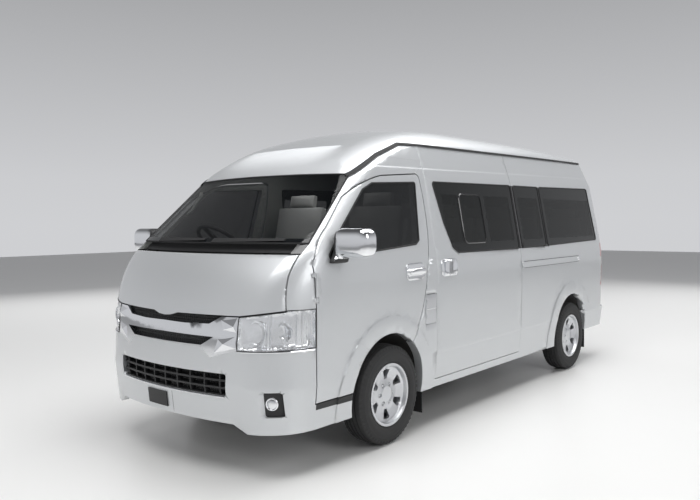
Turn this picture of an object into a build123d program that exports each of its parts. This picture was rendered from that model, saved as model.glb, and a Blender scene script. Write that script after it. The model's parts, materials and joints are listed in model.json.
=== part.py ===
from build123d import *
import math
import os

os.makedirs("parts", exist_ok=True)

# High-roof passenger van, millimetres. +Z up, nose towards -Y, the van's left side is +X.
# The origin lies on the ground under the middle of the van.

# running gear
WHEELBASE = 3110
FRONT_Y = -1510
REAR_Y = FRONT_Y + WHEELBASE
WHEEL_X = 827
TYRE_R = 340
TYRE_HALF = 97
RIM_R = 213
SEAT_R = 200
RIM_HALF = 86
SPOKES = 6
KINGPIN_X = 770
AXLE_Z = TYRE_R
STUB_R = 25
PIN_R = 13
RUN = 0.3

# body thicknesses and gaps
WALL = 55
SKIN = 20
GLASS = 8
COWL_IN = 38
SHUT = 8
STEP = 14
FLARE = 9
NOSE_R = 2400
TAIL_R = 5000

# plan outlines of the body shell: height, half width, nose, nose corner radius, tail, tail corner
# radius, and how far the nose moves for a unit of wall thickness
LEVELS = (
    (240, 893, -2655, 330, 2600, 200, 1.0),
    (545, 924, -2690, 380, 2640, 220, 1.0),
    (900, 932, -2672, 420, 2648, 230, 1.0),
    (1150, 929, -2592, 330, 2646, 230, 1.15),
    (1335, 908, -2440, 200, 2636, 230, 1.45),
    (1860, 812, -1840, 220, 2590, 220, 1.5),
    (2110, 731, -1560, 220, 2470, 200, 1.5),
    (2340, 640, -1300, 220, 2330, 180, 1.5),
)
# first level, last level, straight walls between them
ZONES = ((0, 1, True), (1, 4, False), (4, 5, True), (5, 7, False))

# roof sections: station, crown height, height at the gutter
ROOF = (
    (-1880, 1838, 1762),
    (-1480, 2072, 1960),
    (-1000, 2222, 2078),
    (-350, 2281, 2104),
    (500, 2285, 2112),
    (1350, 2279, 2116),
    (2100, 2258, 2106),
    (2760, 2190, 2040),
)
ROOF_FLAT_X = 520
ROOF_EDGE_X = 735
ROOF_DROP = 0.22

# side view lines
GUTTER = ((-2900, 1799), (-1806, 1799), (-1419, 1985), (-1135, 2083), (2290, 2137), (2330, 2078),
          (2900, 2078))
DOOR_FRONT_Y = -2255
NOSE_END_Y = DOOR_FRONT_Y - SHUT
SLIDE_FRONT_Y = -938
SLIDE_REAR_Y = 451
SILL_TOP = 342
SILL_LOW = 285
FRONT_ARCH = (-1522, 362, 400)
REAR_ARCH = (1588, 380, 392)
FLARE_R = (575, 525)
LID_AT = (-1025, 878)
LID_SIZE = (133, 213)
BELT_Z = 1272
GLASS_TOP = 1826

# front view lines
BONNET_TOP = 1319
BONNET_LOW = 965
COWL_TOP = 1386
LAMP_X = 608
LAMP_LOW = 768
LOWER_GRILLE = (528, 487, 623)
FOG_X = 795
FOG_Z = 452

# hinge lines: across, along, up, as each needs
DOOR_AXIS = (933.5, -2259)
DOOR_KNUCKLES = (1040, 1190)
LID_AXIS = (933.5, -1094.5)
LID_KNUCKLES = (820, 925)
GATE_AXIS = (2497, 2074)
BONNET_AXIS = (-2338, 1309)
BONNET_ARM_X = 560
HINGE_R = 4

# tailgate
GATE_X = 745
GATE_LOW = 572
GATE_TOP = 2070
BUMPER_TOP = 565

# inside
FLOOR_Z = 580
FLOOR_T = 50
DECK_Z = 840
DECK_Y = (-1850, -960)
FRONT_HOUSE = (500, 418, 870)
REAR_HOUSE = (650, 412, 880)
DASH_X = 780
SEAT_W = 470
STEER_AT = (-380, -1880, 1370)
STEER_TILT = 50
STEER_R = 188
# front seats and rear seats: across, along
FRONT_SEATS = ((-400, -1330), (400, -1330))
REAR_SEATS = tuple((x, y) for y in (-480, 280, 1010) for x in (-565, -85, 560)) + tuple(
    (x, 1900) for x in (-540, 0, 540))

# underneath
RAIL_X = (400, 460)
RAIL_Z = (420, 530)
RAIL_Y = (-2520, 2540)
CROSS_Y = (-2480, -380, 350, 1150, 2500)
ARM_LOW_Z = 200
ARM_TOP_Z = 480
LEAF_X = (525, 595)
WHEELS = (("front_left", 1, FRONT_Y), ("front_right", -1, FRONT_Y), ("rear_left", 1, REAR_Y),
          ("rear_right", -1, REAR_Y))


def roof_section(y, crown, edge, inset):
    """Cross section of the roof: flat crown, rounded shoulders, falling sides."""
    crown, edge = crown - inset, edge - inset
    flat_x, edge_x = ROOF_FLAT_X - 0.6 * inset, ROOF_EDGE_X - 0.6 * inset
    shoulder = crown - ROOF_DROP * (crown - edge)
    rise = crown - shoulder
    top_r = (flat_x ** 2 + rise ** 2) / (2 * rise)
    slope = math.asin(flat_x / top_r)
    chord = math.atan2(shoulder - edge, edge_x - flat_x)
    fall = 2 * chord - slope
    out = (edge_x + 420 * math.cos(fall), edge - 420 * math.sin(fall))
    with BuildSketch(Plane.XZ.offset(-y)) as section:
        with BuildLine():
            ThreePointArc((-flat_x, shoulder), (0, crown), (flat_x, shoulder))
            TangentArc((flat_x, shoulder), (edge_x, edge),
                       tangent=(math.cos(slope), -math.sin(slope)))
            Polyline((edge_x, edge), out, (out[0], 0), (-out[0], 0), (-out[0], out[1]),
                     (-edge_x, edge))
            TangentArc((-flat_x, shoulder), (-edge_x, edge),
                       tangent=(-math.cos(slope), -math.sin(slope)))
        make_face()
    return section.sketch


def plan_outline(z, half, nose, nose_r, tail, tail_r, lean, inset):
    """Plan outline: bowed nose and tail, straight sides, tangent corner arcs."""
    half, nose, tail = half - inset, nose + inset * lean, tail - inset
    nose_r, tail_r = nose_r - 0.6 * inset, tail_r - 0.6 * inset

    def corner(end, big, small, way):
        centre = end - way * big
        side_y = centre + way * math.sqrt((big - small) ** 2 - (half - small) ** 2)
        grow = big / (big - small)
        tip = ((half - small) * grow, centre + (side_y - centre) * grow)
        turn = math.atan2(tip[1] - side_y, tip[0] - half + small) / 2
        mid = (half - small + small * math.cos(turn), side_y + small * math.sin(turn))
        return tip, mid, (half, side_y)

    front = corner(nose, NOSE_R, nose_r, -1)
    rear = corner(tail, TAIL_R, tail_r, 1)
    with BuildSketch(Plane.XY.offset(z)) as outline:
        with BuildLine():
            ThreePointArc((-front[0][0], front[0][1]), (0, nose), front[0])
            ThreePointArc((-rear[0][0], rear[0][1]), (0, tail), rear[0])
            for s in (1, -1):
                points = [(s * p[0], p[1]) for p in front + rear]
                ThreePointArc(*points[:3])
                Line(points[2], points[5])
                ThreePointArc(points[5], points[4], points[3])
        make_face()
    return outline.sketch


def body(inset, tail_out=0):
    """The solid inside a body surface, moved in by the inset."""
    with BuildPart() as walls:
        for first, last, straight in ZONES:
            loft([plan_outline(*row[:4], row[4] + tail_out, *row[5:], inset)
                  for row in LEVELS[first:last + 1]], ruled=straight)
    with BuildPart() as shape:
        loft([roof_section(*row, inset) for row in ROOF])
        loft([roof_section(y, *ROOF[0][1:], inset) for y in (-2900, ROOF[0][0])], ruled=True)
        add(walls.part, mode=Mode.INTERSECT)
    return shape.part


def side_prism(points, grow=0, arch=None, near=0, far=1100):
    """A prism along X over a side-view outline; an arch is taken out of it."""
    with BuildPart() as prism:
        with BuildSketch(Plane.YZ.offset(near)):
            with BuildLine():
                Polyline(*points, close=True)
            make_face()
            if grow:
                offset(amount=grow, kind=Kind.INTERSECTION)
            if arch:
                with Locations(arch[:2]):
                    Circle(arch[2], mode=Mode.SUBTRACT)
        extrude(amount=far - near)
    return prism.part


def end_prism(points, start, end, grow=0, radius=0):
    """A prism along Y over an end-view outline."""
    with BuildPart() as prism:
        with BuildSketch(Plane.XZ.offset(-start)) as profile:
            with BuildLine():
                Polyline(*points, close=True)
            make_face()
            if grow:
                offset(amount=grow, kind=Kind.INTERSECTION)
            if radius:
                fillet(profile.vertices(), radius)
        extrude(amount=start - end)
    return prism.part


def both_ways(points):
    """An end-view outline from its right-hand half."""
    return list(points) + [(-x, z) for x, z in reversed(points) if x != 0]


def door_prism(grow=0):
    """Outline of a front door: cut by the wheel arch, raked pillar, bowed rear edge."""
    with BuildPart() as prism:
        with BuildSketch(Plane.YZ):
            with BuildLine():
                Line((DOOR_FRONT_Y, 432), (DOOR_FRONT_Y, 1255))
                ThreePointArc((DOOR_FRONT_Y, 1255), (-2196, 1355), (-2074, 1478))
                Line((-2074, 1478), (-1872, 1671))
                ThreePointArc((-1872, 1671), (-1684, 1768), (-1464, 1827))
                Line((-1464, 1827), (-1060, 1856))
                ThreePointArc((-1060, 1856), (-1026, 1845), (-1012, 1812))
                ThreePointArc((-1012, 1812), (-1004, 1500), (-1079, 1144))
                ThreePointArc((-1079, 1144), (-1142, 890), (-1258, 676))
                Polyline((-1258, 676), (-1522, 500), (-1800, 432), (DOOR_FRONT_Y, 432))
            make_face()
            if grow:
                offset(amount=grow, kind=Kind.INTERSECTION)
            with Locations(FRONT_ARCH[:2]):
                Circle(FRONT_ARCH[2], mode=Mode.SUBTRACT)
        extrude(amount=1100)
    return prism.part


def rounded_window(points, radius, near=0):
    """A window prism along X with rounded corners."""
    with BuildPart() as prism:
        with BuildSketch(Plane.YZ.offset(near)) as profile:
            with BuildLine():
                Polyline(*points, close=True)
            make_face()
            fillet(profile.vertices(), radius)
        extrude(amount=1100)
    return prism.part


def post(at, low, high, radius):
    """An upright round post, for hinge pins and knuckles."""
    with BuildPart() as upright:
        with BuildSketch(Plane.XY.offset(low)):
            with Locations(at):
                Circle(radius)
        extrude(amount=high - low)
    return upright.part


def cross_pin(at, near, far, radius):
    """A round pin along X at a point of the side view."""
    with BuildPart() as pin:
        with BuildSketch(Plane.YZ.offset(near)):
            with Locations(at):
                Circle(radius)
        extrude(amount=far - near)
    return pin.part


def other_side(piece):
    return piece.mirror(Plane.YZ)


# the body surfaces
proud = body(-FLARE)
with BuildPart() as flares:
    for arch in (FRONT_ARCH, REAR_ARCH):
        for s in (1, -1):
            plane = Plane((s * 860, arch[0], arch[1] - 15), z_dir=(s, 0, 0))
            with BuildSketch(plane):
                Circle(FLARE_R[0])
            with BuildSketch(plane.offset(85)):
                Circle(FLARE_R[1])
            loft()
    add(proud, mode=Mode.INTERSECT)
with BuildPart() as flared:
    add(body(0))
    add(flares.part)
outer = flared.part
inner = body(WALL)
under_skin = body(SKIN)
shell = outer - inner
skin = outer - under_skin
core = under_skin - inner
pane = outer - body(GLASS)
raised = proud - outer

# cutters seen from the side
roof_zone = side_prism(list(GUTTER) + [(2900, 2500), (-2900, 2500)], near=-1100)
frame_zone = side_prism([(-2900, 270), (-1560, 270), (-1480, SILL_LOW), (SLIDE_REAR_Y, SILL_LOW),
                         (SLIDE_REAR_Y, SILL_TOP), (SLIDE_FRONT_Y, SILL_TOP), (SLIDE_FRONT_Y, 2500),
                         (-2900, 2500)], arch=FRONT_ARCH)
slide_zone = [(SLIDE_FRONT_Y, SILL_TOP), (SLIDE_REAR_Y, SILL_TOP), (SLIDE_REAR_Y, 2500),
              (SLIDE_FRONT_Y, 2500)]
quarter_zone = side_prism([(SLIDE_REAR_Y, SILL_LOW), (REAR_ARCH[0], SILL_LOW),
                           (REAR_ARCH[0] + 300, BUMPER_TOP), (2900, BUMPER_TOP), (2900, 2500),
                           (SLIDE_REAR_Y, 2500)], arch=REAR_ARCH)
wall_zone = side_prism([(SLIDE_FRONT_Y, SILL_TOP), (SLIDE_REAR_Y, SILL_TOP),
                        (SLIDE_REAR_Y, SILL_LOW), (REAR_ARCH[0], SILL_LOW),
                        (REAR_ARCH[0] + 300, BUMPER_TOP), (2900, BUMPER_TOP), (2900, 2500),
                        (SLIDE_FRONT_Y, 2500)], arch=REAR_ARCH)
rear_bumper_zone = side_prism([(REAR_ARCH[0], 358), (2900, 358), (2900, BUMPER_TOP),
                               (REAR_ARCH[0], BUMPER_TOP)], arch=REAR_ARCH, near=-1100)
slide_window = rounded_window([(-846, GLASS_TOP - 16), (-768, 1500), (-690, 1320), (-610, BELT_Z),
                               (424, BELT_Z), (430, GLASS_TOP)], 22)
quarter_windows = rounded_window([(486, BELT_Z), (1000, BELT_Z + 6), (1000, GLASS_TOP + 4),
                                  (486, GLASS_TOP)], 25)
quarter_windows += rounded_window([(1030, BELT_Z + 6), (2284, BELT_Z + 30), (2242, GLASS_TOP + 24),
                                   (1030, GLASS_TOP + 5)], 30)
door_window = rounded_window([(-2148, 1290), (-1977, 1474), (-1700, 1728), (-1590, 1774),
                              (-1075, 1798), (-1136, 1380), (-1180, 1352)], 16)
strip_zone = side_prism([(DOOR_FRONT_Y, 390), (-1700, 380), (-1700, 424), (DOOR_FRONT_Y, 424)],
                        arch=FRONT_ARCH)

# cutters seen from the front
bonnet_half = [(0, 940), (60, 945), (118, 962), (LAMP_X, 967), (839, 1000), (830, 1092), (821, 1199),
               (823, BONNET_TOP)]
bonnet_zone = end_prism(both_ways(bonnet_half), -2150, -2900)
bonnet_opening = end_prism(both_ways(bonnet_half), -2150, -2900, grow=SHUT)
cowl_zone = end_prism([(-775, BONNET_TOP + SHUT), (775, BONNET_TOP + SHUT), (775, COWL_TOP),
                       (-775, COWL_TOP)], -2050, -2900)
screen_zone = end_prism(both_ways([(0, COWL_TOP), (830, COWL_TOP), (752, 1818), (730, 1830),
                                   (400, 1836), (0, 1838)]), -1600, -2900)
grille_half = [(0, 940), (60, 945), (118, 962), (LAMP_X, 967), (LAMP_X, LAMP_LOW - 4), (520, 744),
               (415, 712), (398, 730), (345, 772), (0, 775)]
grille_zone = end_prism(both_ways(grille_half), -2255, -2900, grow=-0.01)
lamp_zone = end_prism([(LAMP_X, 967), (839, 1000), (1100, 1002), (1100, 778), (900, 770),
                       (LAMP_X, LAMP_LOW - 4)], NOSE_END_Y, -2900)
bumper_half = [(0, 775), (345, 772), (398, 730), (415, 712), (520, 744), (LAMP_X, LAMP_LOW - 4),
               (900, 770), (1100, 778), (1100, 271), (650, 271), (560, 322), (0, 328)]
bumper_zone = end_prism(both_ways(bumper_half), NOSE_END_Y, -2900)
front_all = end_prism(both_ways([(0, 200), (1100, 200), (1100, 1002), (839, 1000), (LAMP_X, 967),
                                 (0, 967)]), NOSE_END_Y, -2900)
lower_grille_zone = end_prism([(-LOWER_GRILLE[0], LOWER_GRILLE[1]), (LOWER_GRILLE[0], LOWER_GRILLE[1]),
                               (LOWER_GRILLE[0] + 6, LOWER_GRILLE[2]),
                               (-LOWER_GRILLE[0] - 6, LOWER_GRILLE[2])], -2400, -2900, radius=18)
gate_half = [(0, GATE_LOW), (GATE_X, GATE_LOW), (GATE_X, 1250), (700, 1860), (650, GATE_TOP),
             (0, GATE_TOP)]
gate_zone = end_prism(both_ways(gate_half), 2900, 2200)
gate_inside = end_prism(both_ways(gate_half), 2900, 2200, grow=-STEP)
gate_opening = end_prism(both_ways(gate_half), 2900, 2200, grow=SHUT)
gate_window = end_prism(both_ways([(0, 1290), (640, 1290), (600, 1800), (0, 1815)]), 2900, 2200,
                        radius=60)
tail_lamp_zone = end_prism([(GATE_X + SHUT + 4, 800), (930, 800), (930, 1262),
                            (GATE_X + SHUT + 4, 1262)], 2900, 2380)

# roof, with the header over the windscreen and the rear header
with BuildPart() as roof:
    add(shell)
    add(roof_zone, mode=Mode.INTERSECT)
    add(screen_zone, mode=Mode.SUBTRACT)
    add(gate_opening, mode=Mode.SUBTRACT)
    # two lugs and a pin on each side for the tailgate
    for x in (-400, 400):
        with BuildSketch(Plane.YZ.offset(x - 60)):
            with BuildLine():
                Polyline((2420, GATE_TOP + SHUT), (2490, GATE_TOP + SHUT), (2490, 2066), (2504, 2066),
                         (2504, 2100), (2420, 2130), close=True)
            make_face()
        extrude(amount=120)
        with BuildSketch(Plane.YZ.offset(x - 46)):
            with Locations((2500, 2090)):
                Rectangle(90, 60)
        extrude(amount=92, mode=Mode.SUBTRACT)
    for x in (-400, 400):
        add(cross_pin(GATE_AXIS, x - 50, x + 50, HINGE_R))
roof.part.label = "roof"
export_step(roof.part, "parts/roof.step")

# body side frames: front corner, raked pillar, header, pillar behind the front door and sill
with BuildPart() as side_frame_left:
    add(shell)
    add(frame_zone, mode=Mode.INTERSECT)
    add(roof_zone, mode=Mode.SUBTRACT)
    add(door_prism(SHUT), mode=Mode.SUBTRACT)
    add(strip_zone, mode=Mode.SUBTRACT)
    for cutter in (bonnet_opening, cowl_zone, screen_zone, front_all):
        add(cutter, mode=Mode.SUBTRACT)
    for z in DOOR_KNUCKLES:
        with BuildSketch(Plane.XY.offset(z)):
            with Locations(DOOR_AXIS):
                Circle(8)
            with Locations((DOOR_AXIS[0] - 10, DOOR_AXIS[1] - 10)):
                Rectangle(20, 20)
        extrude(amount=24)
        add(post(DOOR_AXIS, z - 1, z + 25, HINGE_R + RUN), mode=Mode.SUBTRACT)
side_frame_right = other_side(side_frame_left.part)
with BuildPart() as frame_left:
    add(side_frame_left.part)
    # recess behind the fuel lid
    with BuildSketch(Plane.YZ.offset(900)):
        with Locations(LID_AT):
            RectangleRounded(LID_SIZE[0] + 12, LID_SIZE[1] + 12, 16)
    extrude(amount=100, mode=Mode.SUBTRACT)
    add(post(LID_AXIS, LID_KNUCKLES[0] + 15, LID_KNUCKLES[1] - 1, 6), mode=Mode.SUBTRACT)
    for z in LID_KNUCKLES:
        with BuildSketch(Plane.XY.offset(z)):
            with Locations(LID_AXIS):
                Circle(7)
            with Locations((LID_AXIS[0] - 7, LID_AXIS[1] - 6)):
                Rectangle(14, 12)
        extrude(amount=14)
        add(post(LID_AXIS, z - 1, z + 15, HINGE_R - 1 + RUN), mode=Mode.SUBTRACT)
frame_left.part.label = "side_frame_left"
export_step(frame_left.part, "parts/side_frame_left.step")
side_frame_right.label = "side_frame_right"
export_step(side_frame_right, "parts/side_frame_right.step")

with BuildPart() as quarter_left:
    add(shell)
    add(quarter_zone, mode=Mode.INTERSECT)
    for cutter in (roof_zone, gate_opening, quarter_windows, tail_lamp_zone):
        add(cutter, mode=Mode.SUBTRACT)
quarter_left.part.label = "quarter_left"
export_step(quarter_left.part, "parts/quarter_left.step")

with BuildPart() as wall_left:
    add(shell)
    add(wall_zone, mode=Mode.INTERSECT)
    for cutter in (roof_zone, gate_opening, slide_window, quarter_windows, tail_lamp_zone):
        add(cutter, mode=Mode.SUBTRACT)
side_wall_right = other_side(wall_left.part)
side_wall_right.label = "side_wall_right"
export_step(side_wall_right, "parts/side_wall_right.step")

with BuildPart() as door_steps:
    add(shell)
    add(strip_zone, mode=Mode.INTERSECT)
    mirror(about=Plane.YZ)
door_steps.part.label = "door_steps"
export_step(door_steps.part, "parts/door_steps.step")

# sliding door: proud skin with a shut line round it, on a frame that fills the opening
with BuildPart() as slide_door:
    add(skin)
    add(side_prism(slide_zone, grow=-6), mode=Mode.INTERSECT)
    add(side_prism([(y, z - 6) for y, z in GUTTER] + [(2900, 2600), (-2900, 2600)]),
        mode=Mode.SUBTRACT)
with BuildPart() as slide_frame:
    add(core)
    add(side_prism(slide_zone), mode=Mode.INTERSECT)
    add(roof_zone, mode=Mode.SUBTRACT)
    add(slide_door.part)
    add(slide_window, mode=Mode.SUBTRACT)
slide_frame.part.label = "slide_door"
export_step(slide_frame.part, "parts/slide_door.step")

# front doors: skin with an inset inner frame, so that the edge clears the pillar as it swings
with BuildPart() as door_skin:
    add(skin)
    add(door_prism(), mode=Mode.INTERSECT)
with BuildPart() as door_left:
    add(core)
    add(door_prism(-STEP), mode=Mode.INTERSECT)
    add(door_skin.part)
    add(door_window, mode=Mode.SUBTRACT)
    for z in DOOR_KNUCKLES:
        add(post(DOOR_AXIS, z - 6, z + 30, 24), mode=Mode.SUBTRACT)
    with BuildSketch(Plane.XY.offset(DOOR_KNUCKLES[0] + 30)):
        with Locations(DOOR_AXIS):
            Circle(8)
        with Locations((DOOR_AXIS[0] - 9, DOOR_AXIS[1] + 14)):
            Rectangle(18, 28)
    extrude(amount=DOOR_KNUCKLES[1] - DOOR_KNUCKLES[0] - 36)
    add(post(DOOR_AXIS, DOOR_KNUCKLES[0], DOOR_KNUCKLES[1] + 24, HINGE_R))
door_right = other_side(door_left.part)
door_left.part.label = "front_door_left"
export_step(door_left.part, "parts/front_door_left.step")
door_right.label = "front_door_right"
export_step(door_right, "parts/front_door_right.step")

# bonnet with two hinge arms under its rear edge
pin_y, pin_z = BONNET_AXIS
with BuildPart() as bonnet_arms:
    for x in (-BONNET_ARM_X, BONNET_ARM_X):
        with BuildSketch(Plane.YZ.offset(x - 14)):
            with Locations(BONNET_AXIS):
                Circle(2 * HINGE_R)
            with BuildLine():
                Polyline((pin_y + 6, pin_z - 5), (pin_y - 8, pin_z + 6), (pin_y - 44, pin_z + 6),
                         (pin_y - 138, pin_z - 46), (pin_y - 138, pin_z - 83), (pin_y - 68, pin_z - 46),
                         (pin_y - 6, pin_z - 18), close=True)
            make_face()
        extrude(amount=28)
    add(under_skin, mode=Mode.INTERSECT)
    add(cross_pin(BONNET_AXIS, -700, 700, HINGE_R + RUN), mode=Mode.SUBTRACT)
with BuildPart() as bonnet:
    add(skin)
    add(bonnet_zone, mode=Mode.INTERSECT)
    add(bonnet_arms.part)
bonnet.part.label = "bonnet"
export_step(bonnet.part, "parts/bonnet.step")

with BuildPart() as cowl:
    add(body(COWL_IN))
    add(inner, mode=Mode.SUBTRACT)
    add(cowl_zone, mode=Mode.INTERSECT)
cowl.part.label = "cowl"
export_step(cowl.part, "parts/cowl.step")

with BuildPart() as gate_skin:
    add(skin)
    add(gate_zone, mode=Mode.INTERSECT)
with BuildPart() as tailgate:
    add(core)
    add(gate_inside, mode=Mode.INTERSECT)
    add(gate_skin.part)
    add(gate_window, mode=Mode.SUBTRACT)
    for x in (-400, 400):
        with BuildSketch(Plane.YZ.offset(x - 40)):
            with Locations(GATE_AXIS):
                Circle(10)
            with Locations((2470, GATE_TOP - 6)):
                Rectangle(54, 12)
        extrude(amount=80)
        add(cross_pin(GATE_AXIS, x - 60, x + 60, HINGE_R + RUN), mode=Mode.SUBTRACT)
tailgate.part.label = "tailgate"
export_step(tailgate.part, "parts/tailgate.step")

with BuildPart() as front_bumper:
    add(shell)
    add(bumper_zone, mode=Mode.INTERSECT)
    add(lower_grille_zone, mode=Mode.SUBTRACT)
    with BuildSketch(Plane.XZ.offset(2300)):
        with Locations((FOG_X, FOG_Z), (-FOG_X, FOG_Z)):
            RectangleRounded(96, 150, 16)
    extrude(amount=600, mode=Mode.SUBTRACT)
front_bumper.part.label = "front_bumper"
export_step(front_bumper.part, "parts/front_bumper.step")

with BuildPart() as rear_bumper:
    add(body(0, tail_out=48))
    add(inner, mode=Mode.SUBTRACT)
    add(rear_bumper_zone, mode=Mode.INTERSECT)
rear_bumper.part.label = "rear_bumper"
export_step(rear_bumper.part, "parts/rear_bumper.step")

# bright grille frame: a bar between two slots, running out into wedges beside the lamps
with BuildPart() as grille:
    add(shell)
    add(grille_zone, mode=Mode.INTERSECT)
    add(bonnet_opening, mode=Mode.SUBTRACT)
    for half in ([(0, 985), (486, 985), (486, 958), (400, 912), (200, 905), (0, 908)],
                 [(0, 840), (440, 836), (345, 782), (0, 782)]):
        add(end_prism(both_ways(half), -2255, -2900), mode=Mode.SUBTRACT)
grille.part.label = "grille"
export_step(grille.part, "parts/grille.step")

# black slats of the wide lower grille, and the blank plate bracket below it
with BuildPart() as slats:
    with BuildSketch(Plane.XZ.offset(2300)):
        with Locations((0, (LOWER_GRILLE[1] + LOWER_GRILLE[2]) / 2)):
            with GridLocations(0, 45, 1, 4):
                Rectangle(1100, 12)
            with GridLocations(118, 0, 9, 1):
                Rectangle(10, 140)
    extrude(amount=600)
    add(lower_grille_zone, mode=Mode.INTERSECT)
    add(core, mode=Mode.INTERSECT)
with BuildPart() as plate_bracket:
    add(raised)
    add(end_prism([(-170, 362), (30, 362), (30, 456), (-170, 456)], -2400, -2900), mode=Mode.INTERSECT)
    add(slats.part)
plate_bracket.part.label = "lower_grille"
export_step(plate_bracket.part, "parts/lower_grille.step")

with BuildPart() as headlamps:
    add(shell)
    add(lamp_zone, mode=Mode.INTERSECT)
    add(bonnet_opening, mode=Mode.SUBTRACT)
    mirror(about=Plane.YZ)
headlamps.part.label = "headlamps"
export_step(headlamps.part, "parts/headlamps.step")

with BuildPart() as tail_lamps:
    add(shell)
    add(tail_lamp_zone, mode=Mode.INTERSECT)
    mirror(about=Plane.YZ)
tail_lamps.part.label = "tail_lamps"
export_step(tail_lamps.part, "parts/tail_lamps.step")

with BuildPart() as fog_lamps:
    with BuildSketch(Plane.XZ.offset(2300)):
        with Locations((FOG_X, FOG_Z), (-FOG_X, FOG_Z)):
            RectangleRounded(96, 150, 16)
    extrude(amount=600)
    add(core, mode=Mode.INTERSECT)
fog_lamps.part.label = "fog_lamps"
export_step(fog_lamps.part, "parts/fog_lamps.step")

# glass
with BuildPart() as windscreen:
    add(pane)
    add(screen_zone, mode=Mode.INTERSECT)
windscreen.part.label = "windscreen"
export_step(windscreen.part, "parts/windscreen.step")

with BuildPart() as side_glass_left:
    add(pane)
    add(slide_window + quarter_windows, mode=Mode.INTERSECT)
side_glass_right = other_side(side_glass_left.part)
side_glass_left.part.label = "side_glass_left"
export_step(side_glass_left.part, "parts/side_glass_left.step")
side_glass_right.label = "side_glass_right"
export_step(side_glass_right, "parts/side_glass_right.step")

with BuildPart() as door_glass_left:
    add(pane)
    add(door_window, mode=Mode.INTERSECT)
door_glass_right = other_side(door_glass_left.part)
door_glass_left.part.label = "door_glass_left"
export_step(door_glass_left.part, "parts/door_glass_left.step")
door_glass_right.label = "door_glass_right"
export_step(door_glass_right, "parts/door_glass_right.step")

with BuildPart() as tailgate_glass:
    add(pane)
    add(gate_window, mode=Mode.INTERSECT)
tailgate_glass.part.label = "tailgate_glass"
export_step(tailgate_glass.part, "parts/tailgate_glass.step")


# handles, mouldings and other trim that follow the skin
def on_skin(outline):
    """A thin piece that lies on the skin inside a side-view prism."""
    with BuildPart() as trim:
        add(raised)
        add(outline, mode=Mode.INTERSECT)
    return trim.part


def handle_prism(y, z, length, height):
    with BuildPart() as prism:
        with BuildSketch(Plane.YZ.offset(700)):
            with Locations((y, z)):
                RectangleRounded(length, height, 0.3 * height)
        extrude(amount=400)
    return prism.part


with BuildPart() as handle_left:
    add(on_skin(handle_prism(-1230, 1163, 215, 120)))
    with BuildSketch(Plane.YZ.offset(920)):
        with Locations((-1230, 1163)):
            RectangleRounded(190, 34, 14)
    extrude(amount=45)
    add(outer, mode=Mode.SUBTRACT)
handle_right = other_side(handle_left.part)
handle_left.part.label = "handle_left"
export_step(handle_left.part, "parts/handle_left.step")
handle_right.label = "handle_right"
export_step(handle_right, "parts/handle_right.step")

with BuildPart() as slide_trim:
    add(on_skin(handle_prism(-774, 1168, 225, 130)))
    add(on_skin(handle_prism(1110, 1121, 1310, 52)))
    with BuildSketch(Plane.YZ.offset(920)):
        with Locations((-790, 1168)):
            RectangleRounded(36, 118, 14)
    extrude(amount=45)
    add(outer, mode=Mode.SUBTRACT)
slide_trim.part.label = "slide_trim"
export_step(slide_trim.part, "parts/slide_trim.step")

with BuildPart() as fuel_lid:
    add(pane)
    with BuildSketch(Plane.YZ.offset(700)):
        with Locations(LID_AT):
            RectangleRounded(*LID_SIZE, 10)
    extrude(amount=400, mode=Mode.INTERSECT)
    for z in LID_KNUCKLES:
        add(post(LID_AXIS, z - 6, z + 20, 16), mode=Mode.SUBTRACT)
    with BuildSketch(Plane.XY.offset(LID_KNUCKLES[0] + 20)):
        with Locations(LID_AXIS):
            Circle(5)
        with Locations((LID_AXIS[0] - 5, LID_AXIS[1] + 5)):
            Rectangle(6, 12)
    extrude(amount=LID_KNUCKLES[1] - LID_KNUCKLES[0] - 26)
    add(post(LID_AXIS, LID_KNUCKLES[0], LID_KNUCKLES[1] + 14, HINGE_R - 1))
fuel_lid.part.label = "fuel_lid"
export_step(fuel_lid.part, "parts/fuel_lid.step")

with BuildPart() as gutters:
    add(raised)
    add(side_prism([(y, z + 8) for y, z in GUTTER[1:5]] + [(y, z - 8) for y, z in GUTTER[4:0:-1]]),
        mode=Mode.INTERSECT)
    add(screen_zone, mode=Mode.SUBTRACT)
    mirror(about=Plane.YZ)
gutters.part.label = "gutters"
export_step(gutters.part, "parts/gutters.step")

# wipers lie on the foot of the windscreen
with BuildPart() as wiper_arms:
    for x, reach in ((-520, 560), (120, 560)):
        with BuildSketch(Plane.XZ.offset(2000)):
            with BuildLine():
                Polyline((x, 1390), (x + reach, 1402), (x + reach, 1416), (x, 1416), close=True)
            make_face()
        extrude(amount=900)
with BuildPart() as wipers:
    add(raised)
    add(wiper_arms.part, mode=Mode.INTERSECT)
wipers.part.label = "wipers"
export_step(wipers.part, "parts/wipers.step")

# mirrors: a foot on the door corner, an arm and a rounded head
with BuildPart() as mirror_left:
    with BuildSketch(Plane.XZ.offset(2110)) as head:
        with Locations((1050, 1388)):
            RectangleRounded(272, 178, 60)
    extrude(amount=-110)
    fillet(mirror_left.edges().group_by(Axis.Y)[0], 40)
    with BuildSketch(Plane.YZ.offset(840)):
        with BuildLine():
            Polyline((-2150, 1262), (-2000, 1262), (-2000, 1350), (-2070, 1370), close=True)
        make_face()
    extrude(amount=130)
    add(outer, mode=Mode.SUBTRACT)
mirror_right = other_side(mirror_left.part)
mirror_left.part.label = "mirror_left"
export_step(mirror_left.part, "parts/mirror_left.step")
mirror_right.label = "mirror_right"
export_step(mirror_right, "parts/mirror_right.step")

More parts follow.
